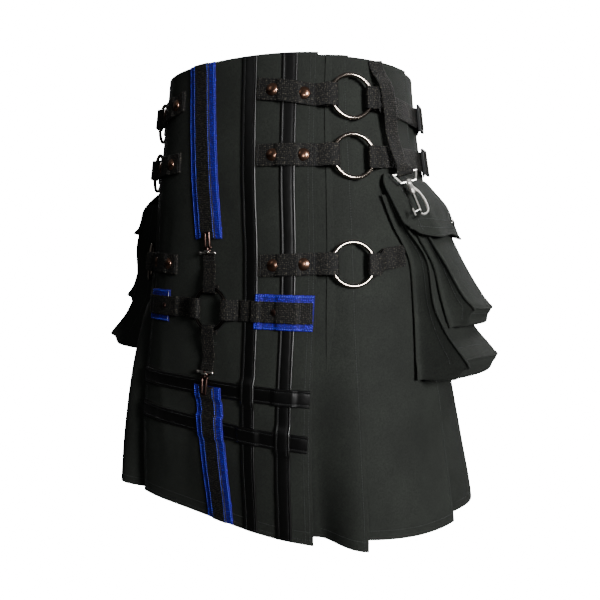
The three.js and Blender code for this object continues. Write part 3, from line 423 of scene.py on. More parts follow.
def lengths_along(points):
    """How far along a line each of its points lies."""
    return np.concatenate([[0], np.cumsum(np.linalg.norm(np.diff(points, axis=0), axis=1))])


for side, sign in (("left", 1), ("right", -1)):
    lines = [pleated_line(float(d), side) for d in side_depths]
    faces = [both_faces(line, DENIM) for line in lines]
    grids = [np.array([skin(f[k][:, 0], d, f[k][:, 1]) for f, d in zip(faces, side_depths)])
             for k in (0, 1)]
    laid = lengths_along(lines[-1])
    cloth = np.array([np.stack([laid, np.full(len(laid), float(d))], -1) for d in side_depths])
    flip = np.array([sign, 1, 1])
    piece = wall(f"pleated_side_{side}", grids[0] * flip, grids[1] * flip, cloth, denim_cloth)
    dress(piece, [f"side_pleated_{side}"])
    sheet(piece)


def side_level(run, depth, side="left"):
    """Level of the outer face of the cloth that shows on a side."""
    run, depth = np.broadcast_arrays(np.asarray(run, float), np.asarray(depth, float))
    edges = [apron_half(depth), *[fold_run(k, depth) for k in range(len(FOLDS))], half_round(depth)]
    level = np.zeros(run.shape)
    for k in range(len(edges) - 1):
        crest = (2 * LAYER + kick_at(k, depth, side) + VALLEY * opened(depth)) if k < len(FOLDS) else 0
        t = np.clip((run - edges[k]) / (edges[k + 1] - edges[k]), 0, 1)
        here = DENIM - VALLEY * opened(depth) + crest * smooth(t)
        level = here if k == 0 else np.where(run >= edges[k], here, level)
    return level + creases(run, depth, SIDE_CREASES[side])


def rest_level(run, depth):
    """Where a strap 28 mm wide rests: the highest place of the cloth near it."""
    return np.max([side_level(np.asarray(run, float) + aside, depth) for aside in (-16, -8, 0, 8, 16)],
                  axis=0)


# Under apron
# The same denim, one flat width that runs behind the apron from side to side.
under_t = np.linspace(-1, 1, 41)
under_cloth = np.array([[(t * (apron_half(d) - UNDERLAP - SEAM), d) for t in under_t]
                        for d in side_depths])
under_faces = [skin(under_cloth[..., 0], under_cloth[..., 1], np.full(under_cloth.shape[:2], out))
               for out in (0.0, DENIM)]
under = wall("under_apron_cloth", *under_faces, under_cloth, denim_cloth)
sheet(dress(under, ["under_apron"]))

# Apron
# The flat front width, edge stitched down both sides and swinging out at its lower left corner.
APRON_OUT, APRON_KICK, APRON_EASE = 2.4, 19, 0.9
APRON_CREASES = [
    (-95, 470, 6, 120, 13, 1.1), (-45, 520, -5, 80, 12, -0.9), (115, 560, 2, 60, 10, 0.9),
    (30, 380, 14, 60, 12, 0.8), (-110, 250, -12, 70, 10, -0.7), (35, 190, 25, 50, 9, 0.6),
    (-75, 120, -30, 45, 9, -0.6), (95, 350, -8, 60, 8, -0.6), (140, 430, 3, 120, 9, 0.9)]


def apron_level(run, depth):
    swing = APRON_KICK * opened(depth) * smooth((run + 90) / 230)
    return APRON_OUT + swing + creases(run, depth, APRON_CREASES) + APRON_EASE


def apron_face(run, depth):
    return apron_level(run, depth) + DENIM


def laid_wall(name, cloth, level, thick, material):
    """A layer laid on what level gives, through a grid of distances round and depths."""
    cloth = np.asarray(cloth, float)
    run, depth = cloth[..., 0], cloth[..., 1]
    low = level(run, depth)
    return wall(name, skin(run, depth, low), skin(run, depth, low + thick), cloth, material)


apron_t, apron_depths = np.linspace(-1, 1, 61), [0, *np.arange(ROW_STEP, LENGTH, ROW_STEP), LENGTH]
apron_cloth = np.array([[(t * apron_half(d), d) for t in apron_t] for d in apron_depths])
apron = laid_wall("apron_cloth", apron_cloth, apron_level, DENIM, denim_cloth)
dress(apron, ["apron"])
sheet(apron)

# Leather bands
# Glossy black leather, 2 mm thick, two down the apron and two across it, woven over and under
# each other and stitched along both edges.
LEATHER, WEB, STACK, RAMP, CLEAR = 2.0, 1.4, 0.7, 5, 2.5
UPRIGHTS = {"inner": (50, 75, 20), "outer": (103, 124, 19)}
CROSSBARS = {"upper": (431, 432, 21), "lower": (481, 487, 21)}
CROSSBAR_REACH = 150


def cover(distance, half):
    """1 on a strip, falling to 0 beside it, where a strip over it climbs."""
    return 1 - smooth((np.abs(distance) - half - CLEAR) / RAMP)


def over(beneath):
    """The level of a strip that climbs over others; each is (level, thickness, covers)."""
    def level(run, depth):
        base = apron_face(run, depth) + STACK
        high = base
        for other_level, thick, covers in beneath:
            high = np.maximum(high, base + (other_level(run, depth) + thick + STACK - base)
                              * covers(run, depth))
        return high
    return level


def upright_middle(name):
    top, hem, _ = UPRIGHTS[name]
    return lambda depth: lerp(top, hem, share(depth))


def bar_middle(name):
    low, high, _ = CROSSBARS[name]
    return lambda run: lerp(low, high, (run + CROSSBAR_REACH) / (2 * CROSSBAR_REACH))


def upright_covers(name):
    middle = upright_middle(name)
    return lambda run, depth: cover(run - middle(depth), UPRIGHTS[name][2] / 2)


def bar_covers(name):
    middle = bar_middle(name)
    return lambda run, depth: (cover(depth - middle(run), CROSSBARS[name][2] / 2)
                               * cover(run, CROSSBAR_REACH))


flat = over([])
upper_bar = over([(flat, LEATHER, upright_covers("outer"))])
lower_bar = over([(flat, LEATHER, upright_covers("inner"))])
inner_level = over([(flat, LEATHER, bar_covers("upper"))])
outer_level = over([(flat, LEATHER, bar_covers("lower"))])
BARS = [(upper_bar, LEATHER, bar_covers("upper")), (lower_bar, LEATHER, bar_covers("lower"))]
STRIPS = [(inner_level, LEATHER, upright_covers("inner")),
          (outer_level, LEATHER, upright_covers("outer"))]


def leather():
    """Patent-finished black leather with a faint pebble grain."""
    made, tree, shader = new_material("glossy_black_leather", 0.36, colour="#020202",
                                      Specular_IOR_Level=0.34)
    place = put(tree, "ShaderNodeTexCoord", -900, 0)
    grain = put(tree, "ShaderNodeTexVoronoi", -700, 0, {"Vector": place.outputs["Object"],
                                                         "Scale": 700.0})
    wave = put(tree, "ShaderNodeTexNoise", -700, -250, {"Vector": place.outputs["Object"], "Scale": 60.0,
                                                        "Detail": 3.0})
    fine = put(tree, "ShaderNodeBump", -450, 0, {"Height": grain.outputs["Distance"], "Strength": 0.12,
                                                 "Distance": 0.0002})
    soft = put(tree, "ShaderNodeBump", -250, 0, {"Height": wave.outputs["Fac"], "Strength": 0.35,
                                                 "Distance": 0.0015, "Normal": fine.outputs[0]})
    tree.links.new(soft.outputs[0], shader.inputs["Normal"])
    return made


leather_skin = leather()


def band(name, cloth, level, thick, drop, material):
    """A laid strip whose outer face falls away a little at its edges."""
    cloth = np.asarray(cloth, float)
    run, depth = cloth[..., 0], cloth[..., 1]
    low = level(run, depth)
    return wall(name, skin(run, depth, low), skin(run, depth, low + thick - drop), cloth, material, 60)


def beaded(width):
    """Offsets across a leather band and how far its face drops: a bead along each edge, then the
    groove that the stitches pull down."""
    half = width / 2
    part = np.array([0, 0.4, 1.1, 2.0, 2.8, 3.5, 4.4, 6])
    drop = np.array([1.1, 0.4, 0, 0.08, 0.4, 0.75, 0.45, 0.3])
    return (np.concatenate([-half + part, [0], half - part[::-1]]),
            np.concatenate([drop, [0.22], drop[::-1]]))


def edge_offsets(width, thick):
    """Offsets across a webbing and how far its face drops towards its thinner edges."""
    half, part = width / 2, np.array([0, 0.6, 1.6, 4])
    drop = thick * np.array([0.55, 0.18, 0, 0.05, 0, 0.05, 0, 0.18, 0.55])
    return np.concatenate([-half + part, [0], half - part[::-1]]), drop


strip_depths = np.linspace(1, LENGTH - 1, 150)
for name, level in (("inner", inner_level), ("outer", outer_level)):
    middle, width = upright_middle(name), UPRIGHTS[name][2]
    across, drop = beaded(width)
    cloth = [[(middle(d) + a, d) for a in across] for d in strip_depths]
    piece = dress(band(f"leather_band_{name}", cloth, level, LEATHER, drop, leather_skin),
                  [f"leather_upright_{name}"])
    sheet(piece)
bar_runs = np.linspace(-CROSSBAR_REACH, CROSSBAR_REACH, 110)
for name, level in (("upper", upper_bar), ("lower", lower_bar)):
    middle, width = bar_middle(name), CROSSBARS[name][2]
    across, drop = beaded(width)
    cloth = [[(r, middle(r) + a) for a in across] for r in bar_runs]
    piece = dress(band(f"leather_bar_{name}", cloth, level, LEATHER, drop, leather_skin),
                  [f"leather_crossbar_{name}"])
    sheet(piece)

# Blue and black webbing
# Royal blue webbing 49 mm wide down the apron, the black webbing 28 mm wide sewn along its
# middle, in an upper length from the waist and a lower one to the hem.
BLUE, BLACK_LIE = 49, 28
BLUES = {"upper": (0, 234, -31, -10), "lower": (429, LENGTH, 0, 19)}


def webbing(name, dark, light):
    """Woven tape: raised knots 2.5 mm apart, a little coarser than real ones so that they show, their
    tops painted a lighter colour than the dark yarn as a painted highlight."""
    made, tree, shader = new_material(name, 0.75, Specular_IOR_Level=0.2)
    place = put(tree, "ShaderNodeUVMap", -1300, 0, uv_map="cloth")
    knots = put(tree, "ShaderNodeTexVoronoi", -1000, 150, {"Vector": place.outputs[0], "Scale": 400.0,
                                                           "Randomness": 0.5}, voronoi_dimensions="2D")
    uneven = put(tree, "ShaderNodeTexNoise", -1000, -150, {"Vector": place.outputs[0], "Scale": 330.0,
                                                           "Detail": 2.0, "Roughness": 0.7})
    height = put(tree, "ShaderNodeMath", -700, 0, {0: knots.outputs["Distance"], 1: -0.9,
                                                   2: uneven.outputs["Fac"]}, operation="MULTIPLY_ADD")
    # The higher a knot, the more of the lighter colour it takes: a painted highlight on the knot tops.
    ramp = put(tree, "ShaderNodeValToRGB", -420, 0, {"Fac": height.outputs[0]})
    ramp.color_ramp.elements[0].position, ramp.color_ramp.elements[0].color = 0.3, rgb(dark)
    ramp.color_ramp.elements[1].position, ramp.color_ramp.elements[1].color = 0.46, rgb(light)
    tree.links.new(ramp.outputs[0], shader.inputs["Base Color"])
    bump = put(tree, "ShaderNodeBump", -250, -300, {"Height": height.outputs[0], "Strength": 0.8,
                                                    "Distance": 0.0008})
    tree.links.new(bump.outputs[0], shader.inputs["Normal"])
    return made


# Each webbing's second colour is the painted highlight on its knot tops.
blue_web = webbing("royal_blue_webbing", "#0C0550", "#2F18C8")
black_web = webbing("black_webbing", "#000000", "#3A3730")


def blue_middle(name):
    start_depth, end_depth, start, end = BLUES[name]
    long = end_depth - start_depth
    return lambda depth: lerp(start, end, np.clip((depth - start_depth) / long, 0, 1))


blue_level = over(BARS)
for name, (top, low, _, _) in BLUES.items():
    middle = blue_middle(name)
    depths = np.linspace(top, min(low, LENGTH - 1), 70)
    across, drop = edge_offsets(BLUE, WEB)
    cloth = [[(middle(d) + a, d) for a in across] for d in depths]
    blue = dress(band(f"blue_webbing_length_{name}", cloth, blue_level, WEB, drop, blue_web),
                 [f"blue_webbing_{name}"])
    sheet(blue)
    across, drop = edge_offsets(BLACK_LIE, WEB)
    cloth = [[(middle(d) + a, d) for a in across] for d in depths]
    piece = band(f"black_webbing_length_{name}", cloth, lambda r, d: blue_level(r, d) + WEB + STACK,
                 WEB, drop, black_web)
    sheet(dress(piece, [f"black_webbing_{name}"]))

# Harness
# A black nickel ring in the middle of the apron, held by four ends of black webbing: two 27 mm
# wide, sewn down over patches of the blue webbing, and two 22 mm wide, up and down to the clasps.
HARNESS_DEPTH, HARNESS_RUN, HARNESS_OUT, HARNESS_WEB, LOOP_WEB, LOOP_EASE = 327, 2, 12.5, 27, 22, 2.4
RING_IN, WIRE, PATCH_IN, PATCH_OUT, PATCH = 25, 5, 71, 147, 45
PATCHES = {"left": (PATCH_IN, PATCH_OUT), "right": (-PATCH_OUT, -PATCH_IN - 17)}
# depth and distance round at the upper and the lower end of each short loop
LOOPS = {"upper": (256, 303, -7, 0), "lower": (351, 408, 8, -2)}
# how the wire's wrap of webbing stands off its middle
WRAP = WIRE / 2 + 0.45


def polished(name, colour, rough):
    """Polished or plated metal, a little uneven from polishing."""
    made, tree, shader = new_material(name, rough, 1.0, colour)
    place = put(tree, "ShaderNodeTexCoord", -700, 0)
    wave = put(tree, "ShaderNodeTexNoise", -500, 0, {"Vector": place.outputs["Object"], "Scale": 90.0,
                                                     "Detail": 2.0})
    bump = put(tree, "ShaderNodeBump", -250, 0, {"Height": wave.outputs["Fac"], "Strength": 0.15,
                                                 "Distance": 0.0005})
    tree.links.new(bump.outputs[0], shader.inputs["Normal"])
    return made


ring_metal = polished("ring_nickel_plate", "#8A7F76", 0.16)


patch_level = over(STRIPS)


def patch_covers(run, depth):
    return (cover(depth - HARNESS_DEPTH, PATCH / 2)
            * cover(np.abs(run) - (PATCH_IN + PATCH_OUT) / 2, (PATCH_OUT - PATCH_IN) / 2))


for name, (start, end) in PATCHES.items():
    across, drop = edge_offsets(PATCH, WEB)
    cloth = [[(r, HARNESS_DEPTH + a) for a in across] for r in np.linspace(start, end, 40)]
    patch = band(f"blue_patch_cloth_{name}", cloth, patch_level, WEB, drop, blue_web)
    sheet(dress(patch, [f"blue_patch_{name}"]))


def unit(way):
    return way / np.linalg.norm(way)


def frame_at(run, depth):
    """Place, way round and outward way at one spot on the body."""
    return [np.array(v, float).reshape(3) for v in body_frame(run, depth)]


def up_way(run, depth, out, way):
    """The way up the cloth at a spot, square to its way round."""
    up = (skin(run, depth - 20, out) - skin(run, depth + 20, out)).reshape(3)
    return unit(up - way * up.dot(way))


def ring_frame(run, depth, out):
    """Middle of a flat thing that lies on the body, and its ways round, up and out."""
    place, way, normal = frame_at(run, depth)
    up = up_way(run, depth, out, way)
    face = np.cross(way, up)
    if face.dot(normal) < 0:
        face = -face
    return place + normal * out, way, up, face


def torus(name, where, radius, wire, material, flip=1, around=96, section=20):
    """A ring of round wire in a frame's plane."""
    centre, way, up, _ = where
    face = np.cross(way, up)
    a = np.linspace(0, 2 * math.pi, around, endpoint=False)[:, None]
    b = np.linspace(0, 2 * math.pi, section, endpoint=False)[None, :]
    reach = radius + wire / 2 * np.cos(b)
    points = (centre + (reach * np.cos(a))[..., None] * way + (reach * np.sin(a))[..., None] * up
              + (wire / 2 * np.sin(b) + 0 * a)[..., None] * face)
    points = points.reshape(-1, 3) * np.array([flip, 1, 1])
    faces = []
    for i in range(around):
        for j in range(section):
            k, m = (i + 1) % around, (j + 1) % section
            faces.append([i * section + j, k * section + j, k * section + m, i * section + m])
    return finish_mesh(name, points, faces, None, material, 80)


harness_frame = ring_frame(HARNESS_RUN, HARNESS_DEPTH, HARNESS_OUT)
dark_ring = polished("black_nickel_plate", "#2C2826", 0.3)
dress(torus("harness_ring_wire", harness_frame, RING_IN + WIRE / 2, WIRE, dark_ring), ["harness_ring"])


def fold_rows(where, way, wide, width):
    """Rows of a webbing end folded round a ring's wire: place, thickness way and width way."""
    centre, _, _, face = where
    if np.cross(where[1], where[2]).dot(face) < 0:
        face = -face
    in_ring = math.sqrt(RING_IN ** 2 - (width / 2) ** 2) - 0.6
    spots = [(RING_IN + WIRE + 5, WRAP, 0, 1), (in_ring + 4.0, WRAP, -0.05, 1)]
    spots += [(in_ring + 1.5 - 1.5 * math.sin(t), WRAP * math.cos(t), -math.sin(t), math.cos(t))
              for t in np.linspace(0.25, math.pi - 0.25, 9)]
    spots += [(in_ring + 4.0, -WRAP, -0.05, -1), (RING_IN + WIRE + 3, -WRAP, 0, -1)]
    made = []
    for distance, out, turn_in, lift in spots:
        made.append((centre + way * distance + face * out, unit(way * turn_in + face * lift), wide))
    return made


def lying_rows(runs, depth_of, out_of, way):
    """Rows of a webbing that lies on the body along its distances round."""
    made = []
    for run in runs:
        depth = float(depth_of(run))
        out = float(out_of(run, depth))
        place, round_way, normal = frame_at(run, depth)
        made.append((place + normal * out, normal * way, up_way(run, depth, 0, round_way)))
    return made


def ribbon(name, made, width, thick, material, flip=1):
    """A strip of webbing through rows, its edges a little thinner than its middle."""
    across, drop = edge_offsets(width, thick)
    place, up, wide = (np.array([row[k] for row in made]) for k in range(3))
    laid_flat = place[:, None] + wide[:, None] * across[None, :, None]
    low = laid_flat + up[:, None] * (drop * 0.5)[None, :, None]
    high = laid_flat + up[:, None] * (thick - drop * 0.5)[None, :, None]
    laid = lengths_along(place)
    cloth = np.stack(np.meshgrid(laid, across, indexing="ij")[::-1], -1)
    turned = np.array([flip, 1, 1])
    return wall(name, low * turned, high * turned, cloth, material, 60)


def web_level(run, depth):
    """Where the harness webbing lies: over the apron, the leather uprights and the patches."""
    bare = apron_face(run, depth)
    base = bare + STACK
    for level, thick, covers in STRIPS:
        base = np.maximum(base, bare + STACK + (level(run, depth) + thick - bare) * covers(run, depth))
    patch = patch_level(run, depth) + WEB + 2.5 * STACK
    return base + np.maximum(0, patch - base) * patch_covers(run, depth)


for name, side in (("left", 1), ("right", -1)):
    start, end = HARNESS_RUN + side * (RING_IN + WIRE + 9), side * (PATCH_OUT - 1)
    runs = np.linspace(end, start, 60)[:-2]
    made = (lying_rows(runs, lambda r: HARNESS_DEPTH, web_level, 1)
            + fold_rows(harness_frame, harness_frame[1] * side, harness_frame[2], HARNESS_WEB))
    piece = ribbon(f"harness_webbing_{name}", made, HARNESS_WEB, WEB, black_web)
    sheet(dress(piece, [f"harness_web_{name}"]))
for name, side in (("upper", 1), ("lower", -1)):
    top, low, start, end = LOOPS[name]
    far, near = (top, low) if side > 0 else (low, top)
    made = []
    for depth in (lerp(far, near, t) for t in (0, 0.15, 0.3)):
        run = lerp(start, end, (depth - top) / (low - top))
        place, way, normal = frame_at(run, depth)
        out = float(apron_face(0.0, depth)) + STACK + LOOP_EASE
        made.append((place + normal * out, normal, way))
    made += fold_rows(harness_frame, harness_frame[2] * side, harness_frame[1], LOOP_WEB)
    piece = ribbon(f"harness_webbing_{name}", made, LOOP_WEB, WEB, black_web)
    sheet(dress(piece, [f"harness_web_{name}"]))

# Clasps
# Two small gunmetal swivel clasps join the blue lengths to the harness: a pair of hooked prongs
# over the webbing and a swivel on a bar with a ball at each end, made pale steel as a painted highlight.
gunmetal = polished("gunmetal_clasp", "#453430", 0.3)
# Pale steel: on the clasps' bars and balls it is a painted highlight, lighter than their gunmetal; on the
# press studs it is their own metal.
pale_metal_glint = polished("pale_metal_with_painted_glint", "#B4B0AA", 0.2)
# depth of the bar and of the prongs' tips, and distance round
CLASPS = {"upper": (253, 226, -7.5), "lower": (411, 440, -3)}
# Rods of the bar: two ends, each as across, along towards the tips and out, and the radius.
BAR_RODS = [((-12.5, 0, 5), (12.5, 0, 5), 1.9), ((-12.3, 0, 5), (-12.7, 0, 5), 2.8),
            ((12.3, 0, 5), (12.7, 0, 5), 2.8), ((-3, 2, 7.4), (3, 2, 7.4), 1.5)]


def hook_rods(reach):
    """Rods of the hook in the same form: two prongs and their tip, then the swivel's collars."""
    prongs = [((s * 4, 7, 5.6), (s * 3.2, reach, 6.6), 1.9) for s in (-1, 1)]
    return [*prongs, ((-3.2, reach, 6.6), (3.2, reach, 6.6), 1.9),
            ((-5.2, 7.5, 5.4), (5.2, 7.5, 5.4), 2.1), ((0, 0, 5.2), (0, 7, 5.4), 2.6),
            ((-3.4, 3.4, 5.2), (3.4, 3.4, 5.2), 2.0)]


def capsule(a, b, radius, steps=14):
    """Points and faces of a rod with round ends."""
    way = unit(b - a)
    side = unit(np.cross(way, [0.3, 0.9, 0.2]))
    other, bends = np.cross(way, side), np.linspace(0, math.pi / 2, 5)[1:]
    rings = [(a - way * radius * math.cos(t), radius * math.sin(t)) for t in bends]
    rings += [(b + way * radius * math.cos(t), radius * math.sin(t)) for t in bends[::-1]]
    points, faces = [a - way * radius], []
    for centre, size in rings:
        points += [centre + (side * math.cos(u) + other * math.sin(u)) * size
                   for u in np.linspace(0, 2 * math.pi, steps, endpoint=False)]
    points.append(b + way * radius)
    last = 1 + (len(rings) - 1) * steps
    for u in range(steps):
        v = (u + 1) % steps
        faces.append([0, 1 + v, 1 + u])
        for k in range(1, last, steps):
            faces.append([k + u, k + v, k + steps + v, k + steps + u])
        faces.append([last + u, last + v, len(points) - 1])
    return np.array(points), faces


def joined(name, parts, material, sharp=50):
    """One piece from several pairs of points and faces."""
    points, faces, count = [], [], 0
    for p, f in parts:
        points.append(np.asarray(p))
        faces += [[int(i) + count for i in face] for face in f]
        count += len(p)
    return finish_mesh(name, np.vstack(points), faces, None, material, sharp)


for name, (bar, tip, run) in CLASPS.items():
    way = math.copysign(1, tip - bar)

    def spot(across, along, out):
        depth = bar + way * along
        return skin(run + across, depth, float(apron_face(run, depth)) + out).reshape(3)

    hook, ends = ([capsule(spot(*a), spot(*b), radius) for a, b, radius in rods]
                  for rods in (hook_rods(abs(tip - bar)), BAR_RODS))
    dress(joined(f"clasp_hook_{name}", hook, gunmetal, 80), [f"clasp_{name}"])
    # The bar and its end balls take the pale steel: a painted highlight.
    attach(joined(f"clasp_bar_{name}", ends, pale_metal_glint, 80), "kilt")

# Straps and rings
# Black webbing straps 28 mm wide hold the apron at three heights: riveted at the front, folded
# round a ring and on to the hip. The two upper ones pass through a slide buckle there.
STRAP, RIVET, RIVET_RISE, RING_OUT, SIDE_STACK = 28, 8, 3.4, 10.4, 1.1
# depth at the start and at the ring, start, rivets, ring, buckle, drop, left end, right end
STRAPS = [(44, 55, 64, (84, 123), 180, 322, 6, 372, 372),
          (129, 130, 67, (89, 127), 187, 332, -8, 382, 382),
          (269, 265, 73, (93, 131), 190, 0, -20, 268, 247)]
# how far from a ring's middle the flat strap starts, and over what length a hip strap drops
FOLD_ROOM, DROP_LENGTH, DOUBLED = RING_IN + WIRE + 12, 120, 20
SLIDE_HALF, SLIDE_BAR, SLIDE_THICK, SLIDE_LIFT, SLIDE_CLEAR = 14, 3, 3, 4.2, 7
PATCH_RIVETS, SMALL_RIVET = (-96, 98), 0.58
copper = polished("dark_copper_rivet", "#80604F", 0.24)
slide_plastic, _, _ = new_material("black_slide_acetal", 0.42, colour="#121314")


def refinish(names, material):
    """Gives the frame's own solids, which stay, the finish of the real ones."""
    for name in names:
        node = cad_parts[name]
        node.data.materials.clear()
        node.data.materials.append(material)


refinish(("slide_1_left", "slide_1_right", "slide_2_left", "slide_2_right"), slide_plastic)


def front_level(run, depth):
    """Where a front strap lies: over the apron and its outer leather, then on the side."""
    on_apron = np.asarray(run) < apron_half(depth) + 12
    return (upright_covers("outer")(run, depth) * (LEATHER + STACK)
            + np.where(on_apron, apron_face(run, depth), rest_level(run, depth)) + STACK)


def dome(where, flip=1, size=1.0):
    """Points and faces of a rivet's dome with a thin rolled rim, 16 mm across at size 1."""
    centre, way, up, face = where
    way, up, face = way * size, up * size, face * size
    profile = [(2.6, RIVET_RISE * 0.96), (4.6, RIVET_RISE * 0.84), (6.2, RIVET_RISE * 0.6),
               (7.2, RIVET_RISE * 0.36), (7.7, 1.0), (RIVET, 0.5), (RIVET, -0.2), (7.4, -0.4)]
    steps = 28
    points, faces = [centre + face * RIVET_RISE], []
    for radius, rise in profile:
        for a in np.linspace(0, 2 * math.pi, steps, endpoint=False):
            points.append(centre + (way * math.cos(a) + up * math.sin(a)) * radius + face * rise)
    last = 1 + (len(profile) - 1) * steps
    for a in range(steps):
        b = (a + 1) % steps
        faces.append([0, 1 + a, 1 + b])
        for k in range(1, last, steps):
            faces.append([k + a, k + steps + a, k + steps + b, k + b])
    points.append(centre - face * 0.4)
    faces += [[last + a, len(points) - 1, last + (a + 1) % steps] for a in range(steps)]
    return np.array(points) * np.array([flip, 1, 1]), faces


def front_depth(top, depth, start, ring):
    """The depth of a front strap's middle along it, from its start to its ring."""
    length = ring - FOLD_ROOM - start
    return lambda run: lerp(top, depth, np.clip((run - start) / length, 0, 1))


def hip_depth(depth, ring, drop):
    return lambda run: depth + drop * np.clip((run - ring) / DROP_LENGTH, 0, 1)


for level, (top, depth, start, rivets, ring, buckle, drop, end_left, end_right) in enumerate(STRAPS, 1):
    where = ring_frame(ring, depth, RING_OUT)
    depth_of, side_depth = front_depth(top, depth, start, ring), hip_depth(depth, ring, drop)
    runs = np.linspace(start, ring - FOLD_ROOM, 40)
    made = lying_rows(runs, depth_of, lambda r, d: front_level(r, d) + WEB + SEAM, 1)
    made += fold_rows(where, -where[1], where[2], STRAP)
    made += lying_rows(runs[::-1], depth_of, lambda r, d: front_level(r, d) + WEB, -1)
    first = ring + FOLD_ROOM
    doubled = first + DOUBLED

    def side_rest(run, down):
        free = SLIDE_HALF + SLIDE_CLEAR
        if buckle and abs(run - buckle) < free:
            return SIDE_STACK + np.maximum(rest_level(buckle - free, down), rest_level(buckle + free, down))
        return SIDE_STACK + rest_level(run, down)

    def lifted(run):
        if not buckle:
            return 0
        return (SLIDE_LIFT + SLIDE_THICK + STACK) * (
            1 - smooth((abs(run - buckle) - SLIDE_BAR) / (SLIDE_HALF - 1 - SLIDE_BAR)))

    def over_end(run):
        return (WEB + SEAM) * (1 - smooth((run - doubled) / 6))

    for side, flip, end in (("left", 1, end_left), ("right", -1, end_right)):
        piece = ribbon(f"strap_webbing_{level}_{side}", made, STRAP, WEB, black_web, flip)
        sheet(dress(piece, [f"strap_front_{level}_{side}"]))
        domes = []
        for run in rivets:
            out = float(front_level(run, depth_of(run))) + 2 * WEB + SEAM
            domes.append(dome(ring_frame(run, float(depth_of(run)), out), flip))
        caps = joined(f"rivet_caps_{level}_{side}", domes, copper, 70)
        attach(caps, "kilt")
        dress(torus(f"ring_wire_{level}_{side}", where, RING_IN + WIRE / 2, WIRE, ring_metal, flip),
              [f"ring_{level}_{side}"])
        side_runs = np.linspace(first, end, max(8, int((end - first) / 4)))
        under_runs = side_runs[side_runs <= doubled]
        back_rows = lying_rows(side_runs[::-1], side_depth,
                               lambda r, d: side_rest(r, d) + lifted(r) + over_end(r), 1)
        back_rows += fold_rows(where, where[1], where[2], STRAP)
        back_rows += lying_rows(under_runs, side_depth, lambda r, d: side_rest(r, d) + WEB, -1)
        piece = ribbon(f"hip_strap_{level}_{side}", back_rows, STRAP, WEB, black_web, flip)
        sheet(dress(piece, [f"strap_side_{level}_{side}"]))

patch_rivets = [dome(ring_frame(run, HARNESS_DEPTH, float(web_level(run, HARNESS_DEPTH)) + WEB), 1,
                     SMALL_RIVET) for run in PATCH_RIVETS]
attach(joined("patch_rivets", patch_rivets, gunmetal, 70), "kilt")

# Hip loop and trigger hook
# A webbing loop hangs from the waist on the wearer's left, over two hip straps, and carries a
# bright swivel trigger hook. Its eye, hook and gate are the frame's own solids.
# depth, distance round and out of the loop's middle
LOOP_ROWS = [(3, 214, -1.9), (12, 216, -1.2), (22, 218.4, 3), (31, 221, 8.5), (40, 223.6, 11),
             (50, 226.4, 11.3), (71, 231, 11), (82, 234, 9), (93, 237, 7.5), (105, 240, 8),
             (112, 242, 9.2), (124, 245, 11.6), (136, 248, 15)]
LOOP_WIDTH, EYE_WIRE, EYE_FACING = 23.5, 3.2, math.radians(46)
# distance round, depth and out of the eye's wire in the loop, and of the hook's tip
EYE_AT, HOOK_TIP = (249, 147, 25), (257, 207, 48)
bar_place = skin(*EYE_AT).reshape(3)
tip_way = unit(skin(*HOOK_TIP).reshape(3) - bar_place)
hook_wide = np.array([math.cos(EYE_FACING), math.sin(EYE_FACING), 0])
hook_wide = unit(hook_wide - tip_way * hook_wide.dot(tip_way))
made = []
for depth, run, out in LOOP_ROWS:
    place, way, normal = frame_at(run, depth)
    onward = (skin(run + 2.5, depth + 10, 0) - skin(run - 2.5, depth - 10, 0)).reshape(3)
    wide = unit(np.cross(onward, normal))
    if wide.dot(way) < 0:
        wide = -wide
    made.append((place + normal * (float(rest_level(run, depth)) + SIDE_STACK + out), normal, wide))
outward_way = np.array([math.sin(EYE_FACING), -math.cos(EYE_FACING), 0])
for t in np.linspace(0, math.pi, 13):
    up = outward_way * math.cos(t) + np.array([0, 0, -1.0]) * math.sin(t)
    up[2] += 0.2 * math.cos(t)
    up = unit(up)
    made.append((bar_place + up * (EYE_WIRE / 2 + 0.7), up, hook_wide))
piece = ribbon("hip_loop_webbing", made, LOOP_WIDTH, WEB, black_web)
sheet(dress(piece, ["hip_loop"]))
refinish(("snap_eye", "snap_hook", "snap_gate"), polished("bright_nickel_hook", "#EDEAE4", 0.36))

# Bellows pockets
# Denim cargo pockets on both hips: a big pouch, a smaller one on its face and one flap over
# both. Their edges are pinched and stitched into ridges, their corners stick out, and a press
# stud holds the flap.
# depth, front root, back root, stand of the big face, stand of the small face
POCKET = np.array([(176, 231, 428, 12, 12), (215, 250, 446, 17, 26), (265, 283, 474, 26, 44),
                   (315, 290, 482, 34, 68), (345, 292, 485, 44, 68), (386, 294, 487, 66, 68)], float)
POCKET_SHIFT = {"left": 0, "right": -20}
# how much fuller each side's pockets hang at these depths
FULLER_DEPTHS = [148, 182, 224, 246, 274, 300, 386]
POCKET_FULLER = {"left": [0, 0, 0, 0, 0, 0, 0], "right": [0, 20, 34, 48, 54, 45, 33]}
FACE_INSET, SMALL_INSET, PINCH, POCKET_WALL = 6, 15, 4, 1.6
# depth, front, back, stand, edge
FLAP = np.array([(148, 232, 420, 9.3, 7.1), (160, 228, 425, 18, 12), (182, 236, 434, 32.5, 17),
                 (204, 246, 443, 38.5, 20), (224, 255, 452, 43.5, 23)], float)
BIG_DEPTHS, SMALL_DEPTHS = [176, 215, 265, 315, 350], [196, 230, 270, 306]
BIG_LOW, SMALL_LOW, PLEAT_ROOM = 386, 320, 2.8
# a pouch's bottom, from its face back to the cloth: the share of its stand, and the depth
BIG_BOTTOM = [(0.96, 398), (0.85, 407), (0.4, 412), (0, 413)]
SMALL_BOTTOM = [(0.95, 333), (0.8, 342), (0, 345)]
# the press stud's row and column on the flap's finer grid, and its size beside a strap's rivet
STUD_ROW, STUD_COLUMN, STUD_SIZE = 18, 27, 0.8


def column(table, k, depth):
    return float(np.interp(depth, table[:, 0], table[:, k]))


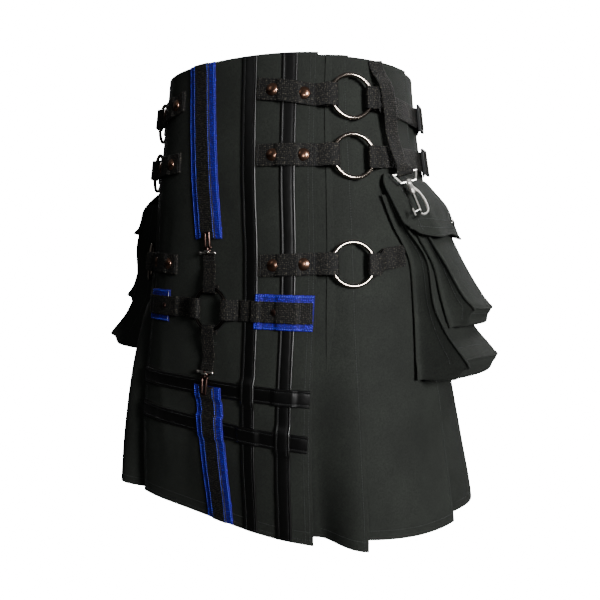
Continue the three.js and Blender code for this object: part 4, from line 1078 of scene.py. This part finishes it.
def fuller_at(depth, side):
    return float(np.interp(depth, FULLER_DEPTHS, POCKET_FULLER[side]))


def big_stand(depth, side):
    return column(POCKET, 3, depth) + fuller_at(depth, side)


def big_ends(depth, side):
    return [column(POCKET, k, depth) + POCKET_SHIFT[side] for k in (1, 2)]


def pleat_reach(depth, side):
    """How far out a pocket's root stays clear of the pleats under it."""
    kicks = [float(kick_at(k, depth, side)) for k in range(3)]
    return DENIM + 2 * LAYER + PLEAT_ROOM + max(kicks[0] / 2, kicks[1], kicks[2])


def pouch_row(depth, front, back, root, stand, inset):
    """A level row round a pouch: its front gusset, its face, a little bulged, and its back one."""
    rise = lambda t: root + (stand - root) * t
    row = [(front - 5, root), (front, rise(0.05)), (front + 0.55 * inset, rise(0.55)),
           (front + inset - PINCH / 2, rise(1) + PINCH / 2), (front + inset + PINCH, rise(1))]
    for t in (0.25, 0.5, 0.75):
        row.append((lerp(front + inset + PINCH, back - inset - PINCH, t),
                    rise(1) + 5 * math.sin(math.pi * t)))
    row += [(back - inset - PINCH, rise(1)), (back - inset + PINCH / 2, rise(1) + PINCH / 2),
            (back - 0.55 * inset, rise(0.55)), (back, rise(0.05)), (back + 5, root)]
    return [(run, depth, out) for run, out in row]


def big_grid(side):
    made = [pouch_row(d, *big_ends(d, side), pleat_reach(d, side), big_stand(d, side), FACE_INSET)
            for d in BIG_DEPTHS]
    full, ends = big_stand(BIG_LOW, side), big_ends(BIG_LOW, side)
    made.append(pouch_row(BIG_LOW, *ends, pleat_reach(BIG_LOW, side), full + PINCH, FACE_INSET))
    for part, depth in BIG_BOTTOM:
        reach = pleat_reach(depth, side)
        made.append(pouch_row(depth, *ends, reach, lerp(reach, full, part) + 1, FACE_INSET))
    return np.array(made)


def small_grid(side):
    root = lambda d: big_stand(d, side) + 5
    stand = lambda d: column(POCKET, 4, d) + fuller_at(d, side)
    ends = lambda d: [run + way * (FACE_INSET + SMALL_INSET)
                      for run, way in zip(big_ends(d, side), (1, -1))]
    made = [pouch_row(d, *ends(d), root(d), max(stand(d), root(d) + 2), FACE_INSET)
            for d in SMALL_DEPTHS]
    full, low_ends = stand(SMALL_LOW), ends(SMALL_LOW)
    made.append(pouch_row(SMALL_LOW, *low_ends, root(SMALL_LOW), full + PINCH, FACE_INSET))
    for part, depth in SMALL_BOTTOM:
        made.append(pouch_row(depth, *low_ends, root(depth), lerp(root(depth), full, part), FACE_INSET))
    return np.array(made)


def flap_grid(side):
    made = []
    for depth, front, back, stand, edge in FLAP:
        fuller = fuller_at(depth, side)
        shift = POCKET_SHIFT[side] * min(max((depth - FLAP[0, 0]) / 34, 0), 1)
        made.append([(lerp(front, back, t) + shift, depth, fuller + edge + (stand - edge) * float(
            smooth(min(1, 1.6 * math.sin(math.pi * t))))) for t in np.linspace(0, 1, 11)])
    return np.array(made)


def finer(grid, axis, steps):
    """A grid with points added along one axis, on curves that don't overshoot its corners."""
    grid = np.moveaxis(grid, axis, 0)
    at = np.arange(len(grid), dtype=float)
    fine = np.linspace(0, len(grid) - 1, (len(grid) - 1) * steps + 1)
    step = np.diff(grid, axis=0)
    slope = np.zeros_like(grid)
    slope[0], slope[-1] = step[0], step[-1]
    both = step[:-1] * step[1:]
    slope[1:-1] = np.where(both > 0, 2 * both / np.where(both > 0, step[:-1] + step[1:], 1), 0)
    i = np.minimum(fine.astype(int), len(grid) - 2)
    t = (fine - at[i]).reshape(-1, *[1] * (grid.ndim - 1))
    p0, p1, m0, m1 = grid[i], grid[i + 1], slope[i], slope[i + 1]
    made = ((2 * t ** 3 - 3 * t ** 2 + 1) * p0 + (t ** 3 - 2 * t ** 2 + t) * m0
            + (3 * t ** 2 - 2 * t ** 3) * p1 + (t ** 3 - t ** 2) * m1)
    return np.moveaxis(made, 0, axis)


POCKET_CREASES = {
    "big": [(330, 330, 10, 70, 12, 2.2), (372, 345, -8, 60, 12, -2.0), (420, 330, 12, 70, 13, 2.0),
            (460, 350, -12, 50, 10, -1.6), (305, 360, 25, 40, 9, 1.8), (350, 262, 20, 40, 9, -1.2)],
    "small": [(330, 285, 12, 45, 9, 2.0), (365, 295, -8, 45, 10, -2.0), (400, 280, 6, 50, 10, 2.0),
              (435, 300, -15, 40, 9, -1.6), (450, 262, 20, 30, 8, 1.2)],
    "flap": [(280, 195, 25, 40, 10, 1.4), (330, 205, -15, 35, 12, -1.3), (375, 195, 10, 40, 10, 1.4),
             (415, 205, -20, 35, 9, -1.0), (258, 200, -25, 30, 8, 1.0)],
}


# row and columns of the lower corners of each piece's face, on its finer grid
CORNERS = {"big": (30, 15, 45), "small": (24, 15, 45), "flap": (24, 0, 50)}


def pouch(name, grid, sign, part):
    """A pocket piece: its grid made finer, creased, with a rippled lower edge and curled corners."""
    phase = len(part) + sign
    fine = finer(finer(grid, 0, 6), 1, 5)
    run, depth, out = (fine[..., k].copy() for k in range(3))
    down, across = np.indices(run.shape)
    low, *tips = CORNERS[part]
    ripple = np.exp(-((down - low) / 4.0) ** 2) * np.sin(across * 0.3 + phase)
    curl = sum(np.exp(-((down - low) / 2.2) ** 2 - ((across - tip) / 2.4) ** 2) for tip in tips)
    sway = sum(np.exp(-((across - tip) / 6) ** 2) for tip in tips) * np.sin(depth / 24 + phase)
    lively = np.minimum(down / 8, 1)
    run = run + (2.2 * sway if part != "flap" else 0) * lively
    depth = depth + 2.4 * ripple + (3.5 if part != "flap" else -4) * curl
    out = out + 1.5 * ripple + 5 * curl + 1.2 * sway * lively
    table = POCKET_CREASES[part]
    edge = smooth(np.minimum(np.arange(fine.shape[0]), 8) / 8)[:, None]
    out = out + creases(run, depth, table) * edge * 0.8
    outside = skin(run, depth, out)
    right_way, down_way = np.gradient(outside, axis=1), np.gradient(outside, axis=0)
    facing = np.cross(right_way, -down_way)
    facing /= np.linalg.norm(facing, axis=-1)[..., None]
    cloth = np.stack([run, depth + 0.6 * out], -1)
    flip = np.array([sign, 1, 1])
    piece = wall(name, (outside - facing * POCKET_WALL) * flip, outside * flip, cloth, denim_cloth, 60)
    return piece, outside * flip, facing * flip


pocket_grids = {}
for side, sign in (("left", 1), ("right", -1)):
    for part, grid in (("big", big_grid(side)), ("small", small_grid(side)), ("flap", flap_grid(side))):
        piece, outside, normals = pouch(f"pocket_{part}_cloth_{side}", grid, sign, part)
        sheet(dress(piece, [f"pocket_{part}_{side}"]))
        pocket_grids[part, side] = (outside, normals)


def piping(name, paths, radius, material, around=8):
    """Closed tubes along paths of points with outward ways, like a pinched and stitched edge."""
    points, faces, cloth, count = [], [], [], 0
    angle = np.linspace(0, 2 * math.pi, around, endpoint=False)
    for path, normals in paths:
        way = np.gradient(path, axis=0)
        side = np.cross(way, normals)
        side /= np.linalg.norm(side, axis=1)[:, None]
        up = np.cross(side, way)
        up /= np.linalg.norm(up, axis=1)[:, None]
        rings = (path[:, None] + radius * np.cos(angle)[None, :, None] * side[:, None]
                 + radius * np.sin(angle)[None, :, None] * up[:, None])
        laid = lengths_along(path)
        points.append(rings.reshape(-1, 3))
        cloth.append(np.stack(np.meshgrid(laid, angle * radius, indexing="ij"), -1).reshape(-1, 2))
        for i in range(len(path) - 1):
            for j in range(around):
                k = (j + 1) % around
                faces.append([count + i * around + j, count + i * around + k,
                              count + (i + 1) * around + k, count + (i + 1) * around + j])
        faces += [[count + j for j in range(around)],
                  [count + (len(path) - 1) * around + j for j in range(around)][::-1]]
        count += len(path) * around
    return finish_mesh(name, np.vstack(points), faces, np.vstack(cloth), material, 70)


for side in ("left", "right"):
    edges = []
    for part in ("big", "small", "flap"):
        outside, normals = pocket_grids[part, side]
        low, first, last = CORNERS[part]
        trail = ([(r, first) for r in range(1, low)] + [(low, c) for c in range(first, last + 1)]
                 + [(r, last) for r in range(low - 1, 0, -1)])
        at = tuple(np.array(trail).T)
        edges.append((outside[at] + 0.4 * normals[at], normals[at]))
    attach(piping(f"pocket_edges_{side}", edges, 1.5, denim_cloth), "kilt")
    outside, normals = pocket_grids["flap", side]
    face = normals[STUD_ROW, STUD_COLUMN]
    way = unit(outside[STUD_ROW, STUD_COLUMN + 1] - outside[STUD_ROW, STUD_COLUMN - 1])
    where = outside[STUD_ROW, STUD_COLUMN] + 0.3 * face, way, np.cross(face, way), face
    stud = joined(f"press_stud_{side}", [dome(where, 1, STUD_SIZE)], pale_metal_glint, 70)
    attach(stud, "kilt")

# Sewing
# Rows of machine stitches in polyester thread, each stitch a small closed bead, set along seam
# lines by one Geometry Nodes tree: 3.2 mm a stitch on the denim, finer on leather and webbing.
HEM_SEAM = 598
# depths of the cross seams on the harness's short webbings
LOOP_SEAMS = (263, 284, 286.5, 371, 373.5, 399)
stitch_row = bpy.data.node_groups.new("stitch_row", "GeometryNodeTree")
for label, kind in (("Seams", "Geometry"), ("Pitch", "Float"), ("Length", "Float"), ("Thread", "Float"),
                    ("Material", "Material")):
    stitch_row.interface.new_socket(label, in_out="INPUT", socket_type=f"NodeSocket{kind}")
stitch_row.interface.new_socket("Stitches", in_out="OUTPUT", socket_type="NodeSocketGeometry")
given = put(stitch_row, "NodeGroupInput", -1200, 0)
line = put(stitch_row, "GeometryNodeMeshToCurve", -1000, 0, {"Mesh": given.outputs["Seams"]})
spaced = put(stitch_row, "GeometryNodeResampleCurve", -800, 0,
             {"Curve": line.outputs[0], "Length": given.outputs["Pitch"]}, mode="LENGTH")
ball = put(stitch_row, "GeometryNodeMeshIcoSphere", -800, -300, {"Radius": 0.5, "Subdivisions": 1})
shape = put(stitch_row, "ShaderNodeCombineXYZ", -800, -500, {"X": given.outputs["Length"],
                                                              "Y": given.outputs["Thread"],
                                                              "Z": given.outputs["Thread"]})
thread = put(stitch_row, "GeometryNodeTransform", -600, -300, {"Geometry": ball.outputs[0],
                                                                "Scale": shape.outputs[0]})
out_way = put(stitch_row, "GeometryNodeInputNamedAttribute", -1000, -500, {"Name": "out_way"},
              data_type="FLOAT_VECTOR")
tangent = put(stitch_row, "GeometryNodeInputTangent", -1000, -700)
turned = put(stitch_row, "FunctionNodeAxesToRotation", -600, -600, primary_axis="X", secondary_axis="Z")
stitch_row.links.new(tangent.outputs[0], turned.inputs[0])
stitch_row.links.new(out_way.outputs["Attribute"], turned.inputs[1])
placed_stitches = put(stitch_row, "GeometryNodeInstanceOnPoints", -350, 0,
                      {"Points": spaced.outputs[0], "Instance": thread.outputs[0],
                       "Rotation": turned.outputs[0]})
real = put(stitch_row, "GeometryNodeRealizeInstances", -150, 0,
           {"Geometry": placed_stitches.outputs[0]})
coloured = put(stitch_row, "GeometryNodeSetMaterial", 50, 0,
               {"Geometry": real.outputs[0], "Material": given.outputs["Material"]})
put(stitch_row, "NodeGroupOutput", 250, 0, {"Stitches": coloured.outputs[0]})
row_inputs = {item.name: item.identifier for item in stitch_row.interface.items_tree
           if item.item_type == "SOCKET" and item.in_out == "INPUT"}
black_thread, _, _ = new_material("black_sewing_thread", 0.6, colour="#1A1C1D")
blue_thread, _, _ = new_material("blue_sewing_thread", 0.55, colour="#3F55F0")
white_thread, _, _ = new_material("pale_basting_thread", 0.6, colour="#B9BCC4")


def stitched(name, seams, material, pitch=3.2, length=2.3, thick=0.6):
    """Joined stitches along rows of points and outward ways, in millimetres."""
    points, ways, edges, count = [], [], [], 0
    for seam_points, seam_ways in seams:
        points.append(seam_points)
        ways.append(seam_ways)
        edges += [(count + i, count + i + 1) for i in range(len(seam_points) - 1)]
        count += len(seam_points)
    mesh = bpy.data.meshes.new(name)
    mesh.from_pydata((np.vstack(points) / 1000).tolist(), edges, [])
    layer = mesh.attributes.new("out_way", "FLOAT_VECTOR", "POINT")
    layer.data.foreach_set("vector", np.vstack(ways).astype(np.float32).ravel())
    made = link(name, mesh)
    modifier = made.modifiers.new("stitches", "NODES")
    modifier.node_group = stitch_row
    for label, value in (("Pitch", pitch / 1000), ("Length", length / 1000), ("Thread", thick / 1000),
                         ("Material", material)):
        modifier[row_inputs[label]] = value
    bpy.context.view_layer.update()
    seen = made.evaluated_get(bpy.context.evaluated_depsgraph_get())
    final = bpy.data.meshes.new_from_object(seen)
    made.modifiers.clear()
    made.data = final
    final.name = name
    if not final.materials:
        final.materials.append(material)
    final.polygons.foreach_set("use_smooth", [True] * len(final.polygons))
    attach(made, "kilt")
    return made


def seam(runs, depths, level, flip=1):
    """A seam line on the body at a level, as points and outward ways."""
    runs, depths = np.broadcast_arrays(np.asarray(runs, float), np.asarray(depths, float))
    _, _, normal = body_frame(runs, depths)
    turned_way = np.array([flip, 1, 1])
    return skin(runs, depths, level(runs, depths)) * turned_way, normal * turned_way


cloth_seams, long_depths = [], np.linspace(4, LENGTH - 4, 160)
for inset in (3.5, 9):
    for way in (-1, 1):
        cloth_seams.append(seam(way * (apron_half(long_depths) - inset), long_depths,
                                lambda r, d: apron_face(r, d) + 0.1))
for rise in (6, 16):
    cloth_seams.append(seam(np.linspace(-1, 1, 90) * (apron_half(LENGTH - rise) - 4), LENGTH - rise,
                            lambda r, d: apron_face(r, d) + 0.1))
for side, flip in (("left", 1), ("right", -1)):
    side_top = lambda r, d, side=side: side_level(r, d, side) + 0.15
    for k in range(len(FOLDS)):
        cloth_seams.append(seam(fold_run(k, long_depths) - 3.5, long_depths, side_top, flip))
    folds = [fold_run(k, HEM_SEAM) for k in range(len(FOLDS))]
    for a, b in zip([apron_half(HEM_SEAM), *folds], [*folds, half_round(HEM_SEAM)]):
        cloth_seams.append(seam(np.linspace(a + 3, b - 3, 40), HEM_SEAM, side_top, flip))
stitched("stitching_cloth", cloth_seams, black_thread)

leather_seams = []
for name, level in (("inner", inner_level), ("outer", outer_level)):
    for way in (-1, 1):
        offset = way * (UPRIGHTS[name][2] / 2 - 3.5)
        leather_seams.append(seam(upright_middle(name)(long_depths) + offset, long_depths,
                                  lambda r, d, level=level: level(r, d) + LEATHER - 0.6))
for name, level in (("upper", upper_bar), ("lower", lower_bar)):
    for way in (-1, 1):
        runs = np.linspace(4 - CROSSBAR_REACH, CROSSBAR_REACH - 4, 120)
        leather_seams.append(seam(runs, bar_middle(name)(runs) + way * (CROSSBARS[name][2] / 2 - 3.5),
                                  lambda r, d, level=level: level(r, d) + LEATHER - 0.6))
stitched("stitching_leather", leather_seams, black_thread, 3.0, 2.2, 0.65)

blue_seams, pale_seams = [], []
for name, (top, low, _, _) in BLUES.items():
    depths, middle = np.linspace(top + 3, low - 3, 70), blue_middle(name)
    for way in (-1, 1):
        blue_seams.append(seam(middle(depths) + way * (BLUE / 2 - 2.2), depths,
                               lambda r, d: blue_level(r, d) + WEB + 0.05))
        blue_seams.append(seam(middle(depths) + way * (BLACK_LIE / 2 - 1.8), depths,
                               lambda r, d: blue_level(r, d) + 2 * WEB + STACK + 0.05))
for start, end in PATCHES.values():
    on_patch = lambda r, d: patch_level(r, d) + WEB + 0.05
    for way in (-1, 1):
        blue_seams.append(seam(np.linspace(start + 2, end - 2, 50),
                               HARNESS_DEPTH + way * (PATCH / 2 - 2.2), on_patch))
    for at in (start + 2.2, end - 2.2):
        down = np.linspace(HARNESS_DEPTH - PATCH / 2 + 2, HARNESS_DEPTH + PATCH / 2 - 2, 12)
        inner_right = -100 < at < -PATCH_IN
        (pale_seams if inner_right else blue_seams).append(seam(at, down, on_patch))
stitched("stitching_blue", blue_seams, blue_thread, 3.0, 2.2, 0.6)
stitched("stitching_pale", pale_seams, white_thread, 2.2, 1.8, 0.7)

strap_seams = []
for top, depth, start, _, ring, _, drop, end_left, end_right in STRAPS:
    depth_of, side_depth = front_depth(top, depth, start, ring), hip_depth(depth, ring, drop)
    for flip, end in ((1, end_left), (-1, end_right)):
        for at in (start + 3, ring - FOLD_ROOM - 4, ring - FOLD_ROOM - 9):
            middle = float(depth_of(at))
            strap_seams.append(seam(at, np.linspace(middle - 12, middle + 12, 9),
                                    lambda r, d: front_level(r, d) + 2 * WEB + SEAM + 0.15, flip))
        at = end - 3
        middle = float(side_depth(at))
        top_face = rest_level(at, middle) + SIDE_STACK + WEB + 0.15
        strap_seams.append(seam(at, np.linspace(middle - 12, middle + 12, 9),
                                lambda r, d, top_face=top_face: top_face + 0 * d, flip))
for depth in LOOP_SEAMS:
    top, low, start, end = LOOPS["upper" if depth < HARNESS_DEPTH else "lower"]
    middle = lerp(start, end, (depth - top) / (low - top))
    strap_seams.append(seam(np.linspace(middle - 9, middle + 9, 7), depth,
                            lambda r, d: apron_face(0.0, d) + STACK + LOOP_EASE + WEB + 0.1 + 0 * r))
for way in (-1, 1):
    for at in (PATCH_OUT - 4, PATCH_OUT - 16):
        strap_seams.append(seam(way * at, np.linspace(HARNESS_DEPTH - 11, HARNESS_DEPTH + 11, 9),
                                lambda r, d: web_level(r, d) + WEB + 0.1))
stitched("stitching_webbing", strap_seams, black_thread, 2.6, 2.0, 0.6)

pocket_seams = []
for (part, side), (outside, normals) in pocket_grids.items():
    # rows of stitches as rows and columns of the piece's finer grid
    if part == "flap":
        lines = [(slice(2, -2), 5), (slice(2, -2), -6), (-4, slice(4, -4)), (-7, slice(4, -4))]
    else:
        lines = [(slice(0, 31), k) for k in (19, -20, 11, -12)] + [(27, slice(18, -18))]
    for where in lines:
        pocket_seams.append((outside[where] + normals[where] * 0.15, normals[where]))
stitched("stitching_pockets", pocket_seams, black_thread, 3.2, 2.3, 0.6)
